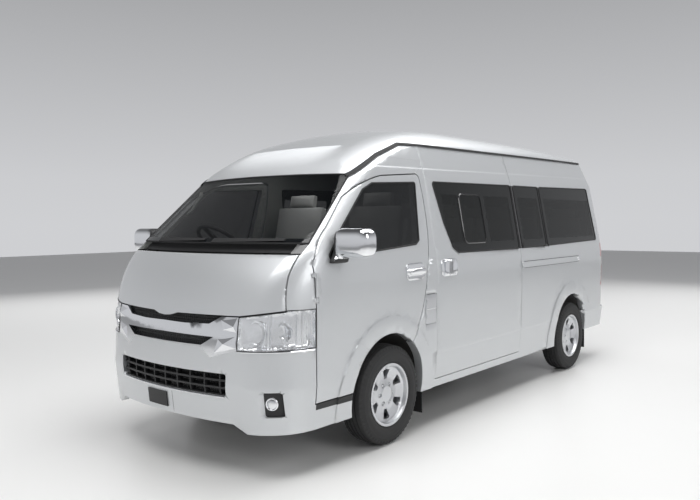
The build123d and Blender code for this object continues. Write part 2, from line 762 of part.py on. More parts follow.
# floor: footwell, deck over the engine, passenger floor, and the wheel houses
with BuildPart() as houses:
    for y, (wall_x, radius, out_x) in ((FRONT_Y, FRONT_HOUSE), (REAR_Y, REAR_HOUSE)):
        for s in (1, -1):
            with BuildSketch(Plane((s * wall_x, y, AXLE_Z), z_dir=(s, 0, 0))):
                Circle(radius)
            extrude(amount=out_x - wall_x)
with BuildPart() as arches:
    add(houses.part)
    with BuildSketch(Plane.XY.offset(505)):
        Rectangle(2000, 5400)
    extrude(amount=-600, mode=Mode.SUBTRACT)
with BuildPart() as house_holes:
    for y, (wall_x, radius, out_x) in ((FRONT_Y, FRONT_HOUSE), (REAR_Y, REAR_HOUSE)):
        for s in (1, -1):
            with BuildSketch(Plane((s * (wall_x + 6), y, AXLE_Z), z_dir=(s, 0, 0))):
                Circle(radius - 6)
            extrude(amount=500)
with BuildPart() as floor_pan:
    with BuildSketch(Plane.YZ.offset(-1000)):
        with BuildLine():
            Polyline((-2320, FLOOR_Z - FLOOR_T), (DECK_Y[0] + 30, FLOOR_Z - FLOOR_T),
                     (DECK_Y[0] + 30, DECK_Z - 30), (DECK_Y[1] - 30, DECK_Z - 30),
                     (DECK_Y[1] - 30, FLOOR_Z - FLOOR_T), (2600, FLOOR_Z - FLOOR_T), (2600, FLOOR_Z),
                     (DECK_Y[1], FLOOR_Z), (DECK_Y[1], DECK_Z), (DECK_Y[0], DECK_Z),
                     (DECK_Y[0], FLOOR_Z), (-2320, FLOOR_Z), close=True)
        make_face()
    extrude(amount=2000)
    with BuildSketch(Plane.XY.offset(450)):
        with Locations((930, -1630), (-930, -1630)):
            Rectangle(140, 1300)
    extrude(amount=800, mode=Mode.SUBTRACT)
    add(arches.part)
    add(house_holes.part, mode=Mode.SUBTRACT)
    add(inner, mode=Mode.INTERSECT)
floor_pan.part.label = "floor_pan"
export_step(floor_pan.part, "parts/floor_pan.step")

# bulkhead between the nose and the cabin, with the box under the cowl
with BuildPart() as bulkhead:
    with BuildSketch(Plane.XZ.offset(2320)):
        with Locations((0, 925)):
            Rectangle(1900, 790)
    extrude(amount=25)
    with BuildSketch(Plane.XY.offset(1297)):
        with Locations((0, -2320)):
            Rectangle(1600, 190)
    extrude(amount=BONNET_TOP + SHUT - 1297)
    add(inner, mode=Mode.INTERSECT)
    with BuildSketch(Plane.XY.offset(450)):
        with Locations((930, -2200), (-930, -2200)):
            Rectangle(120, 125)
    extrude(amount=900, mode=Mode.SUBTRACT)
    # slots and pins for the bonnet arms
    for x in (-BONNET_ARM_X, BONNET_ARM_X):
        with BuildSketch(Plane.XY.offset(1165)):
            with Locations((x, -2320)):
                Rectangle(44, 200)
        extrude(amount=170, mode=Mode.SUBTRACT)
        for near in (x - 36, x + 22):
            with BuildSketch(Plane.YZ.offset(near)):
                with Locations((pin_y + 11, pin_z)):
                    Rectangle(34, 4 * HINGE_R)
            extrude(amount=14)
    for x in (-BONNET_ARM_X, BONNET_ARM_X):
        add(cross_pin(BONNET_AXIS, x - 30, x + 30, HINGE_R))
bulkhead.part.label = "bulkhead"
export_step(bulkhead.part, "parts/bulkhead.step")

steer_dir = (0, math.cos(math.radians(STEER_TILT)), math.sin(math.radians(STEER_TILT)))
steer_plane = Plane(STEER_AT, x_dir=(1, 0, 0), z_dir=steer_dir)
with BuildPart() as dashboard:
    with BuildSketch(Plane.YZ.offset(-DASH_X)):
        with BuildLine():
            Polyline((-2320, 900), (-2320, 1290), (-2260, 1340), (-2120, 1345), (-2040, 1310),
                     (-2015, 1180), (-2060, 1020), (-2180, 900), close=True)
        make_face()
    extrude(amount=2 * DASH_X)
    fillet(dashboard.edges().filter_by(Axis.X).sort_by(Axis.Y)[-3:], 25)
    with BuildSketch(steer_plane.offset(-330)):
        Circle(36)
    extrude(amount=300)
    with BuildSketch(steer_plane.offset(-40)):
        Circle(PIN_R)
    extrude(amount=30)
    add(inner, mode=Mode.INTERSECT)
    add(bulkhead.part, mode=Mode.SUBTRACT)
dashboard.part.label = "dashboard"
export_step(dashboard.part, "parts/dashboard.step")

with BuildPart() as steering_wheel:
    with BuildSketch(Plane(STEER_AT, x_dir=(1, 0, 0), z_dir=steer_plane.y_dir)):
        with Locations((STEER_R, 0)):
            Circle(15)
    revolve(axis=Axis(STEER_AT, steer_dir))
    with BuildSketch(steer_plane.offset(-24)):
        Circle(62)
        with PolarLocations(110, 3, start_angle=-90):
            Rectangle(150, 34)
    extrude(amount=20)
    with BuildSketch(steer_plane.offset(-24)):
        Circle(PIN_R + RUN)
    extrude(amount=17, mode=Mode.SUBTRACT)
steering_wheel.part.label = "steering_wheel"
export_step(steering_wheel.part, "parts/steering_wheel.step")


def seat(x, y, foot, cushion_z, width, back):
    """One seat: foot, cushion, leaning back and head restraint."""
    with BuildPart() as one:
        with BuildSketch(Plane.XY.offset(foot)):
            with Locations((x, y)):
                Rectangle(110, 300)
        extrude(amount=cushion_z - foot)
        with BuildSketch(Plane.YZ.offset(x - width / 2)) as cushion:
            with Locations((y, cushion_z + 60)):
                RectangleRounded(470, 120, 45)
        extrude(amount=width)
        lean = Plane((x - width / 2, y + 235, cushion_z + 60), x_dir=(0, 1, 0), z_dir=(1, 0, 0))
        with BuildSketch(lean.rotated((0, 0, -12))):
            with Locations((0, back / 2)):
                RectangleRounded(110, back, 45)
        extrude(amount=width)
        head = Plane((x - 135, y + 235, cushion_z + 60), x_dir=(0, 1, 0), z_dir=(1, 0, 0))
        with BuildSketch(head.rotated((0, 0, -12))):
            with Locations((0, back + 55)):
                RectangleRounded(90, 150, 35)
        extrude(amount=270)
    return one.part


with BuildPart() as front_seats:
    for x, y in FRONT_SEATS:
        add(seat(x, y, DECK_Z, 945, 500, 640))
front_seats.part.label = "front_seats"
export_step(front_seats.part, "parts/front_seats.step")

with BuildPart() as rear_seats:
    for x, y in REAR_SEATS:
        add(seat(x, y, FLOOR_Z, 890, 440, 600))
rear_seats.part.label = "rear_seats"
export_step(rear_seats.part, "parts/rear_seats.step")

# chassis: two rails, cross members and the front cradle
with BuildPart() as leaf_springs:
    with BuildSketch(Plane.YZ.offset(LEAF_X[0])):
        with BuildLine():
            low = ThreePointArc((1000, 462), (REAR_Y, 385), (2200, 462))
            top = ThreePointArc((1000, 488), (REAR_Y, 420), (2200, 488))
            Line(low @ 0, top @ 0)
            Line(low @ 1, top @ 1)
        make_face()
    extrude(amount=LEAF_X[1] - LEAF_X[0])
    mirror(about=Plane.YZ)
leaf_springs.part.label = "leaf_springs"
export_step(leaf_springs.part, "parts/leaf_springs.step")

with BuildPart() as chassis:
    with BuildSketch(Plane.XY.offset(RAIL_Z[0])):
        with Locations(((RAIL_X[0] + RAIL_X[1]) / 2, (RAIL_Y[0] + RAIL_Y[1]) / 2)):
            Rectangle(RAIL_X[1] - RAIL_X[0], RAIL_Y[1] - RAIL_Y[0])
    extrude(amount=RAIL_Z[1] - RAIL_Z[0])
    with BuildSketch(Plane.XY.offset(450)):
        for y in CROSS_Y:
            with Locations((RAIL_X[0] / 2, y)):
                Rectangle(RAIL_X[0], 60)
        for y in (1015, 2185):
            with Locations(((RAIL_X[1] + LEAF_X[1]) / 2, y)):
                Rectangle(LEAF_X[1] - RAIL_X[1], 50)
    extrude(amount=RAIL_Z[1] - 450)
    # cradle under the engine that carries the lower arms
    with BuildSketch(Plane.XY.offset(180)):
        with Locations((230, FRONT_Y)):
            Rectangle(460, 130)
    extrude(amount=50)
    with BuildSketch(Plane.XY.offset(230)):
        with Locations((430, FRONT_Y)):
            Rectangle(60, 130)
    extrude(amount=190)
    mirror(about=Plane.YZ)
    add(leaf_springs.part, mode=Mode.SUBTRACT)
chassis.part.label = "chassis"
export_step(chassis.part, "parts/chassis.step")

with BuildPart() as front_arms:
    for z, inner_x, spread in ((ARM_LOW_Z, RAIL_X[1], 130), (ARM_TOP_Z, RAIL_X[1], 200)):
        with BuildSketch(Plane.XY.offset(z - 12)):
            with BuildLine():
                Polyline((inner_x, FRONT_Y - spread / 2), (KINGPIN_X, FRONT_Y - 32),
                         (KINGPIN_X, FRONT_Y + 32), (inner_x, FRONT_Y + spread / 2), close=True)
            make_face()
            with Locations((KINGPIN_X, FRONT_Y)):
                Circle(32)
                Circle(PIN_R + RUN, mode=Mode.SUBTRACT)
            with Locations((580, FRONT_Y)):
                RectangleRounded(120, 44, 15, mode=Mode.SUBTRACT)
        extrude(amount=24)
    mirror(about=Plane.YZ)
front_arms.part.label = "front_arms"
export_step(front_arms.part, "parts/front_arms.step")

with BuildPart() as knuckle_left:
    with BuildSketch(Plane.XY.offset(ARM_LOW_Z - 16)):
        with Locations((KINGPIN_X, FRONT_Y)):
            Circle(PIN_R)
    extrude(amount=ARM_TOP_Z - ARM_LOW_Z + 32)
    with BuildSketch(Plane.XY.offset(ARM_LOW_Z + 18)):
        with Locations((KINGPIN_X, FRONT_Y)):
            Circle(30)
    extrude(amount=ARM_TOP_Z - ARM_LOW_Z - 36)
    with BuildSketch(Plane((KINGPIN_X, FRONT_Y, AXLE_Z), z_dir=(1, 0, 0))):
        Circle(STUB_R)
    extrude(amount=WHEEL_X + 30 - KINGPIN_X)
knuckle_right = other_side(knuckle_left.part)
knuckle_left.part.label = "knuckle_left"
export_step(knuckle_left.part, "parts/knuckle_left.step")
knuckle_right.label = "knuckle_right"
export_step(knuckle_right, "parts/knuckle_right.step")

# live rear axle with its final drive, drums and spring pads
with BuildPart() as rear_axle:
    with BuildSketch(Plane((0, REAR_Y, AXLE_Z), x_dir=(1, 0, 0), z_dir=(0, -1, 0))):
        with BuildLine():
            Polyline((-WHEEL_X - 30, 0), (-WHEEL_X - 30, STUB_R), (-795, STUB_R), (-795, 130), (-720, 130),
                     (-720, 42), (-230, 42), (-90, 140), (90, 140), (230, 42), (720, 42), (720, 130),
                     (795, 130), (795, STUB_R), (WHEEL_X + 30, STUB_R), (WHEEL_X + 30, 0), close=True)
        make_face()
    revolve(axis=Axis((0, REAR_Y, AXLE_Z), (1, 0, 0)))
    with BuildSketch(Plane.XY.offset(AXLE_Z)):
        with Locations(((LEAF_X[0] + LEAF_X[1]) / 2, REAR_Y), (-(LEAF_X[0] + LEAF_X[1]) / 2, REAR_Y)):
            Rectangle(80, 110)
    extrude(amount=60)
    add(leaf_springs.part, mode=Mode.SUBTRACT)
rear_axle.part.label = "rear_axle"
export_step(rear_axle.part, "parts/rear_axle.step")

# engine under the front seats, with its gearbox
with BuildPart() as engine:
    with BuildSketch(Plane.XY.offset(300)):
        with Locations((0, -1370)):
            Rectangle(500, 740)
    extrude(amount=450)
    chamfer(engine.edges().filter_by(Axis.Y), 40)
    with BuildSketch(Plane.XZ.offset(1000)):
        with Locations((0, 400)):
            RectangleRounded(300, 200, 60)
    extrude(amount=-560)
    with BuildSketch(Plane.XY.offset(230)):
        with Locations((180, FRONT_Y), (-180, FRONT_Y)):
            Rectangle(60, 60)
    extrude(amount=80)
engine.part.label = "engine"
export_step(engine.part, "parts/engine.step")

shaft_from, shaft_to = (0, -440, 385), (0, REAR_Y - 139.5, AXLE_Z + 8)
with BuildPart() as propeller_shaft:
    shaft_plane = Plane(shaft_from, z_dir=tuple(b - a for a, b in zip(shaft_from, shaft_to)))
    with BuildSketch(shaft_plane):
        Circle(38)
    extrude(amount=math.dist(shaft_from, shaft_to))
    add(engine.part, mode=Mode.SUBTRACT)
    add(rear_axle.part, mode=Mode.SUBTRACT)
propeller_shaft.part.label = "propeller_shaft"
export_step(propeller_shaft.part, "parts/propeller_shaft.step")

with BuildPart() as fuel_tank:
    with BuildSketch(Plane.XY.offset(310)):
        with Locations((630, -300)):
            RectangleRounded(300, 900, 40)
    extrude(amount=FLOOR_Z - FLOOR_T - 310)
    fillet(fuel_tank.edges().group_by(Axis.Z)[0], 30)
fuel_tank.part.label = "fuel_tank"
export_step(fuel_tank.part, "parts/fuel_tank.step")

with BuildPart() as exhaust:
    with BuildLine() as route:
        FilletPolyline((-250, -1250, 345), (-492, -1000, 340), (-492, 1150, 340), (-492, 1380, 430),
                       (-492, 1820, 430), (-492, 2080, 325), (-492, 2620, 325), radius=110)
    with BuildSketch(Plane(route.line @ 0, z_dir=route.line % 0)):
        Circle(25)
    sweep(path=route.line)
    with BuildSketch(Plane.XZ.offset(-250)):
        with Locations((-515, 325)):
            RectangleRounded(150, 130, 60)
    extrude(amount=-560)
    with BuildSketch(Plane.XY.offset(340)):
        with Locations((-RAIL_X[1] - 14, -400), (-RAIL_X[1] - 14, 950)):
            Rectangle(28, 14)
    extrude(amount=RAIL_Z[0] + 50 - 340)
    add(engine.part, mode=Mode.SUBTRACT)
exhaust.part.label = "exhaust"
export_step(exhaust.part, "parts/exhaust.step")

with BuildPart() as radiator:
    with BuildSketch(Plane.XZ.offset(2470)):
        with Locations((0, RAIL_Z[1] + 210)):
            Rectangle(760, 420)
    extrude(amount=60)
radiator.part.label = "radiator"
export_step(radiator.part, "parts/radiator.step")

with BuildPart() as mud_flaps:
    with BuildSketch(Plane.XZ.offset(1102)):
        with Locations((815, 205)):
            Rectangle(160, 160)
    extrude(amount=-8)
    with BuildSketch(Plane.XZ.offset(-2004)):
        with Locations((815, 260)):
            Rectangle(160, 196)
    extrude(amount=-8)
    mirror(about=Plane.YZ)
mud_flaps.part.label = "mud_flaps"
export_step(mud_flaps.part, "parts/mud_flaps.step")

# alloy wheel about X, its face towards +X: barrel, six-spoke disc, hub and brake disc
with BuildPart() as wheel_form:
    with BuildSketch(Plane.XY):
        with BuildLine():
            Polyline((-RIM_HALF, 188), (-RIM_HALF, RIM_R), (10 - RIM_HALF, RIM_R), (10 - RIM_HALF, SEAT_R),
                     (RIM_HALF - 10, SEAT_R), (RIM_HALF - 10, RIM_R), (RIM_HALF, RIM_R), (RIM_HALF, 196),
                     (66, 188), (-70, 182), close=True)
        make_face()
        with BuildLine():
            Polyline((-14, 0), (58, 0), (58, 52), (50, 78), (44, 120), (60, 189), (36, 187), (24, 120),
                     (20, 62), (6, 62), (6, 148), (-10, 148), (-10, 62), (-14, 62), close=True)
        make_face()
    revolve(axis=Axis.X)
    with BuildSketch(Plane.YZ.offset(10)) as gaps:
        with PolarLocations(0, SPOKES, start_angle=30):
            Polygon((104, -13), (166, -37), (172, 0), (166, 37), (104, 13), align=None)
        fillet(gaps.vertices(), 9)
    extrude(amount=90, mode=Mode.SUBTRACT)
    with BuildSketch(Plane.YZ.offset(38)):
        with PolarLocations(69.85, SPOKES):
            Circle(13)
    extrude(amount=60, mode=Mode.SUBTRACT)
    with BuildSketch(Plane.YZ.offset(38)):
        with PolarLocations(69.85, SPOKES):
            RegularPolygon(10, 6)
    extrude(amount=14)
    with BuildSketch(Plane.YZ.offset(-14)):
        Circle(STUB_R + RUN)
    extrude(amount=52, mode=Mode.SUBTRACT)

with BuildPart() as tyre_form:
    with BuildSketch(Plane.XY):
        with BuildLine() as section:
            Line((0, SEAT_R), (RIM_HALF - 10, SEAT_R))
            Line((RIM_HALF - 10, SEAT_R), (RIM_HALF - 10, RIM_R + 1))
            ThreePointArc((RIM_HALF - 10, RIM_R + 1), (93, 236), (TYRE_HALF, 265))
            ThreePointArc((TYRE_HALF, 265), (94, 300), (82, TYRE_R - 12))
            ThreePointArc((82, TYRE_R - 12), (76, TYRE_R - 6), (66, TYRE_R - 3))
            ThreePointArc((66, TYRE_R - 3), (34, TYRE_R - 1), (0, TYRE_R))
            mirror(about=Plane.YZ)
        make_face()
    revolve(axis=Axis.X)

for name, s, y in WHEELS:
    place = Location((s * WHEEL_X, y, AXLE_Z), (0, 0, 0 if s > 0 else 180))
    wheel = wheel_form.part.moved(place)
    wheel.label = "wheel_" + name
    export_step(wheel, "parts/wheel_" + name + ".step")
    tyre = tyre_form.part.moved(place)
    tyre.label = "tyre_" + name
    export_step(tyre, "parts/tyre_" + name + ".step")

# spare tyre flat under the rear floor
with BuildPart() as spare_tyre:
    half = tyre_form.part.bounding_box().max.X
    add(tyre_form.part.moved(Location((0, 2110, FLOOR_Z - FLOOR_T - half), (0, 90, 0))))
spare_tyre.part.label = "spare_tyre"
export_step(spare_tyre.part, "parts/spare_tyre.step")
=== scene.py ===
"""Looks of a high-roof passenger van: paint, glass, lamps, wheels, seats, light and camera."""

import json
import math

import bpy
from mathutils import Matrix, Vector
from mathutils.bvhtree import BVHTree

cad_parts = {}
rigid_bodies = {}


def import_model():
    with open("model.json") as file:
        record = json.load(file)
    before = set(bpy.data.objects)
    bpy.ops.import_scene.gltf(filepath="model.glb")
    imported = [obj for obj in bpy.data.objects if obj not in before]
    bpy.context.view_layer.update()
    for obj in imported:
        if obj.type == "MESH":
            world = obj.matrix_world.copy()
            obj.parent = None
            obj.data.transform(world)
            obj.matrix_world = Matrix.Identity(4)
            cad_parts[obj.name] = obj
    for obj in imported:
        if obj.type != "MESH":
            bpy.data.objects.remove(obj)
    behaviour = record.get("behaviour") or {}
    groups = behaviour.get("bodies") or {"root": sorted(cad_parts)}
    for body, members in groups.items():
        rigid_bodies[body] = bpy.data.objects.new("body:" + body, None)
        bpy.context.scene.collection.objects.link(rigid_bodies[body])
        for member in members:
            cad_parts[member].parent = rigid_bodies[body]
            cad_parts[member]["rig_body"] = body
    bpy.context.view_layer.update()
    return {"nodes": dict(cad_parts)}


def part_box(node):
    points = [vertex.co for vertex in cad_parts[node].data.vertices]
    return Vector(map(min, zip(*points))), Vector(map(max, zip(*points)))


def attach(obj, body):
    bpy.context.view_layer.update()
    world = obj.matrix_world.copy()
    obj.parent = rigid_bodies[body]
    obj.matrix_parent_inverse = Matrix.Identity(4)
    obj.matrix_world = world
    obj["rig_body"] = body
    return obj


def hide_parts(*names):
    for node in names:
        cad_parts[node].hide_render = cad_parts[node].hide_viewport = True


bl_info = {
    "name": "Passenger van",
    "version": (1, 0, 0),
    "blender": (4, 5, 0),
    "location": "View3D > Sidebar > Van",
    "description": "Dresses the frame of a high-roof passenger van",
    "category": "Object",
}

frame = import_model()
FINISHES = {}
SKINS = {}

# places in metres: x towards the van's left, y towards its tail, z up
SIDES = (("left", 1), ("right", -1))
OUTSIDE_X, AHEAD_Y = 2, -4
AXLE_Z, TRACK_X = 0.34, 0.827
FRONT_AXLE_Y, REAR_AXLE_Y = -1.51, 1.6
WHEELS = {"front_left": (TRACK_X, FRONT_AXLE_Y), "front_right": (-TRACK_X, FRONT_AXLE_Y),
          "rear_left": (TRACK_X, REAR_AXLE_Y), "rear_right": (-TRACK_X, REAR_AXLE_Y)}
FRONT_SEATS = [(-0.4, -1.33), (0.4, -1.33)]
REAR_SEATS = [(x, y) for y in (-0.48, 0.28, 1.01) for x in (-0.565, -0.085, 0.56)]
REAR_SEATS += [(x, 1.9) for x in (-0.54, 0.0, 0.54)]
BODY_SIDE_X = 0.78
WINDOW_BAND_Z = (1.268, 1.826)
BLACK_PILLARS_Y = ((0.40, 0.52), (0.97, 1.06))
COWL_CORNER_X, COWL_CORNER_Y, COWL_CORNER_Z = (0.70, 0.835), -2.2, (1.320, 1.392)
LOW_CREASE_Y, LOW_CREASE_Z = (-0.95, 2.5), (0.532, 0.552)
HIGH_CREASE_Z, HIGH_CREASE_RISE = (1.915, 1.932), 0.0194
PALE_LENS_Z = (1.02, 1.12)
SCREEN_SHADE_Z, SCREEN_FOOT_Z = 1.9, 1.415
CLEAR_PANES_Z = (1.345, 1.72)
CLEAR_PANES_Y = ((-0.74, -0.51), (-0.48, -0.15), (-0.08, 0.36), (0.54, 0.95), (1.09, 2.22))
WALL_RIBS_RADIUS = (0.292, 0.322)
WALL_RIBS, TREAD_BLOCKS, TREAD_SLANT = 84, 66, 9
CABIN_SIDE_X, CEILING_Z = 0.55, 1.75

MERGE = 0.00005
FACING = 0.45
LAMP_OUT, LAMP_AHEAD, LAMP_FACING = 0.6, 0.8, 0.35
UPRIGHT = (math.pi / 2, 0, 0)

# degrees past which an edge stays sharp
FACET_EDGE, TYRE_EDGE, PANEL_EDGE, ROUND_EDGE = 5, 25, 35, 60


# finishes

class Value:
    """A number in a finish that can be used in sums."""

    def __init__(self, finish, socket):
        self.finish, self.socket = finish, socket

    def math(self, operation, first, second=0.0):
        node = self.finish.node("ShaderNodeMath", {"operation": operation}, {0: first, 1: second})
        return Value(self.finish, node.outputs[0])

    def __add__(self, other): return self.math("ADD", self, other)
    __radd__ = __add__
    def __sub__(self, other): return self.math("SUBTRACT", self, other)
    def __rsub__(self, other): return self.math("SUBTRACT", other, self)
    def __mul__(self, other): return self.math("MULTIPLY", self, other)
    __rmul__ = __mul__
    def __truediv__(self, other): return self.math("DIVIDE", self, other)
    def __gt__(self, other): return self.math("GREATER_THAN", self, other)
    def __lt__(self, other): return self.math("LESS_THAN", self, other)
    def __abs__(self): return self.math("ABSOLUTE", self)
    def fraction(self): return self.math("FRACT", self)
    def root(self): return self.math("SQRT", self)
    def angle_to(self, other): return self.math("ARCTAN2", self, other)


class Finish:
    """One procedural material."""

    def __init__(self, name, colour, **settings):
        self.material = bpy.data.materials.new(name)
        self.material.use_nodes = True
        self.tree = self.material.node_tree
        self.tree.nodes.clear()
        self.base = colour
        inputs = {"Base Color": (*colour, 1.0)}
        inputs.update({key.replace("_", " "): value for key, value in settings.items()})
        self.shader = self.node("ShaderNodeBsdfPrincipled", {}, inputs)
        self.node("ShaderNodeOutputMaterial", {}, {"Surface": self.shader.outputs[0]})
        self.place = self.node("ShaderNodeTexCoord").outputs["Object"]
        split = self.node("ShaderNodeSeparateXYZ", {}, {0: self.place})
        self.x, self.y, self.z = (Value(self, out) for out in split.outputs)
        FINISHES[name] = self.material

    def node(self, kind, settings=None, inputs=None):
        node = self.tree.nodes.new(kind)
        for key, value in (settings or {}).items():
            setattr(node, key, value)
        for key, value in (inputs or {}).items():
            if isinstance(value, Value):
                value = value.socket
            if isinstance(value, bpy.types.NodeSocket):
                self.tree.links.new(value, node.inputs[key])
            else:
                node.inputs[key].default_value = value
        return node

    def noise(self, scale, detail=3.0):
        node = self.node("ShaderNodeTexNoise", {},
                         {"Vector": self.place, "Scale": scale, "Detail": detail})
        return Value(self, node.outputs["Fac"])

    def waves(self, scale, direction):
        node = self.node("ShaderNodeTexWave", {"bands_direction": direction},
                         {"Vector": self.place, "Scale": scale})
        return Value(self, node.outputs["Fac"])

    def between(self, value, span):
        """1 between the two ends of a span, 0 outside them."""
        low, high = span
        return (value > low) * (value < high)

    def in_any(self, value, spans):
        """1 in any of these spans, 0 outside them all."""
        first, *others = [self.between(value, span) for span in spans]
        return sum(others, first)

    def soft_step(self, value, span):
        """Rises smoothly from 0 to 1 over a span."""
        node = self.node("ShaderNodeMapRange", {"interpolation_type": "SMOOTHSTEP"},
                         {0: value, 1: span[0], 2: span[1]})
        return Value(self, node.outputs[0])

    def colour(self, share, low, high):
        """Base colour from low, a colour or an earlier mix, to high by a share of 0 to 1."""
        low = low if isinstance(low, bpy.types.NodeSocket) else (*low, 1.0)
        node = self.node("ShaderNodeMix", {"data_type": "RGBA"},
                         {0: share, 6: low, 7: (*high, 1.0)})
        self.tree.links.new(node.outputs[2], self.shader.inputs["Base Color"])
        return node.outputs[2]

    def feed(self, name, value):
        self.tree.links.new(value.socket, self.shader.inputs[name])

    def bump(self, height, strength, distance):
        node = self.node("ShaderNodeBump", {},
                         {"Height": height, "Strength": strength, "Distance": distance})
        self.tree.links.new(node.outputs[0], self.shader.inputs["Normal"])

    def grained(self, scale, rough, spread, detail=3.0, lighter=None, bump=None):
        """Varies the roughness by a grain, and the colour and the relief where they are given."""
        grain = self.noise(scale, detail)
        self.feed("Roughness", rough + grain * spread)
        if lighter:
            self.colour(grain, self.base, lighter)
        if bump:
            self.bump(grain, *bump)
        return grain


def make_finishes(look):
    """Every finish of the van."""
    make_paint(tuple(look.paint))

    f = Finish("black_plastic", (0.018, 0.018, 0.019))
    f.grained(700, 0.38, 0.25, bump=(0.25, 0.0004))

    f = Finish("gloss_black", (0.012, 0.012, 0.013), Coat_Weight=0.6)
    f.grained(40, 0.12, 0.08)

    f = Finish("chrome", (0.83, 0.84, 0.86), Metallic=1.0)
    f.grained(25, 0.05, 0.07)

    f = Finish("lamp_bowl", (0.80, 0.81, 0.83), Metallic=1.0)
    f.grained(60, 0.12, 0.1)
    f.bump(f.waves(14, "X"), 0.3, 0.003)

    f = Finish("lamp_lens", (0.93, 0.95, 0.97), Coat_Weight=0.5, Alpha=0.16)
    f.grained(30, 0.03, 0.03)

    f = Finish("red_lens", (0.42, 0.012, 0.014), Coat_Weight=0.8)
    f.grained(40, 0.12, 0.06)
    f.colour(f.between(f.z, PALE_LENS_Z), f.base, (0.75, 0.74, 0.72))
    f.bump(f.waves(28, "Z"), 0.3, 0.003)

    f = Finish("screen_glass", (0.006, 0.007, 0.008), Specular_IOR_Level=0.5)
    f.grained(3, 0.02, 0.02)
    f.feed("Alpha", 0.34 + 0.55 * (f.z > SCREEN_SHADE_Z) + 0.6 * (f.z < SCREEN_FOOT_Z))

    f = Finish("door_window", (0.006, 0.007, 0.008), Specular_IOR_Level=0.4)
    f.grained(3, 0.02, 0.02)
    f.feed("Alpha", 0.72 + f.noise(2) * 0.05)

    f = Finish("tinted_glass", (0.003, 0.004, 0.004), Specular_IOR_Level=0.35)
    f.grained(3, 0.02, 0.02)
    panes = f.between(f.z, CLEAR_PANES_Z) * f.in_any(f.y, CLEAR_PANES_Y)
    f.feed("Alpha", 0.99 - 0.29 * panes)

    f = Finish("rubber", (0.014, 0.014, 0.015))
    f.grained(500, 0.6, 0.25, bump=(0.3, 0.0005))

    make_tyre_rubber()

    f = Finish("alloy", (0.56, 0.57, 0.59), Metallic=0.9, Coat_Weight=0.4)
    f.grained(900, 0.26, 0.14, 2, lighter=(0.68, 0.69, 0.71))

    f = Finish("dash_plastic", (0.05, 0.05, 0.052))
    f.grained(380, 0.55, 0.2, bump=(0.5, 0.0006))

    f = Finish("head_lining", (0.20, 0.21, 0.20), Sheen_Weight=0.2)
    f.grained(300, 0.8, 0.15, lighter=(0.30, 0.31, 0.30))

    f = Finish("floor_mat", (0.035, 0.035, 0.038))
    f.grained(420, 0.85, 0.1, lighter=(0.09, 0.09, 0.095), bump=(0.7, 0.002))

    f = Finish("seat_cloth", (0.30, 0.31, 0.30), Sheen_Weight=0.35)
    weave = f.waves(160, "X") * 0.5 + f.waves(160, "Z") * 0.5
    f.colour(weave * 0.7 + f.noise(9) * 0.3, f.base, (0.56, 0.57, 0.56))
    f.feed("Roughness", 0.8 + weave * 0.12)
    f.bump(weave, 0.5, 0.0012)

    f = Finish("chassis_paint", (0.014, 0.014, 0.015))
    f.grained(14, 0.45, 0.4, 6, lighter=(0.05, 0.046, 0.042))

    f = Finish("cast_metal", (0.18, 0.18, 0.18), Metallic=0.8)
    f.grained(60, 0.4, 0.35, 5, lighter=(0.42, 0.42, 0.42), bump=(0.4, 0.001))

    f = Finish("studio_floor", tuple(part * 0.985 for part in look.floor))
    f.grained(90, 0.27, 0.02, 4, lighter=tuple(look.floor))


def make_paint(silver):
    """Silver paint, with the black pillars between the windows and the creases along the sides."""
    f = Finish("silver_paint", tuple(part * 0.93 for part in silver),
               Coat_Weight=0.8, Coat_Roughness=0.05)
    flake = f.noise(1400, 2)
    side = abs(f.x) > BODY_SIDE_X
    corner = (f.between(f.z, COWL_CORNER_Z) * f.between(abs(f.x), COWL_CORNER_X)
              * (f.y < COWL_CORNER_Y))
    black = side * f.between(f.z, WINDOW_BAND_Z) * f.in_any(f.y, BLACK_PILLARS_Y) + corner
    lacquer = f.colour(flake, f.base, tuple(min(1, part * 1.06) for part in silver))
    f.colour(black, lacquer, (0.004, 0.004, 0.005))
    f.feed("Roughness", 0.34 + flake * 0.16 - black * 0.2)
    f.feed("Metallic", 0.55 - black * 0.55)
    low_crease = f.soft_step(f.z, LOW_CREASE_Z) * f.between(f.y, LOW_CREASE_Y)
    high_crease = f.soft_step(f.z - HIGH_CREASE_RISE * f.y, HIGH_CREASE_Z)
    f.bump(side * (low_crease - high_crease), 0.5, 0.006)


def make_tyre_rubber():
    """Rubber with ribs on the tyre's wall and blocks on its tread, round each axle."""
    f = Finish("tyre_rubber", (0.016, 0.016, 0.017))
    grain = f.grained(260, 0.62, 0.25, lighter=(0.034, 0.034, 0.034))
    along = f.y - ((f.y > 0) * (REAR_AXLE_Y - FRONT_AXLE_Y) + FRONT_AXLE_Y)
    up = f.z - AXLE_Z
    radius = (along * along + up * up).root()
    turn = up.angle_to(along) / (2 * math.pi)
    ribs = ((turn * WALL_RIBS).fraction() > 0.45) * f.between(radius, WALL_RIBS_RADIUS)
    slanted = (turn * TREAD_BLOCKS + abs(f.x) * TREAD_SLANT).fraction()
    blocks = (slanted > 0.22) * (radius > WALL_RIBS_RADIUS[1])
    f.bump(ribs * 0.6 + blocks + grain * 0.08, 0.9, 0.004)


# making pieces

def only(piece):
    """Selects this piece and nothing else."""
    if bpy.context.object and bpy.context.object.mode != "OBJECT":
        bpy.ops.object.mode_set(mode="OBJECT")
    bpy.ops.object.select_all(action="DESELECT")
    piece.select_set(True)
    bpy.context.view_layer.objects.active = piece
    return piece


def added(name, mesh):
    """A new piece with this mesh, alone selected."""
    piece = bpy.data.objects.new(name, mesh)
    bpy.context.scene.collection.objects.link(piece)
    return only(piece)


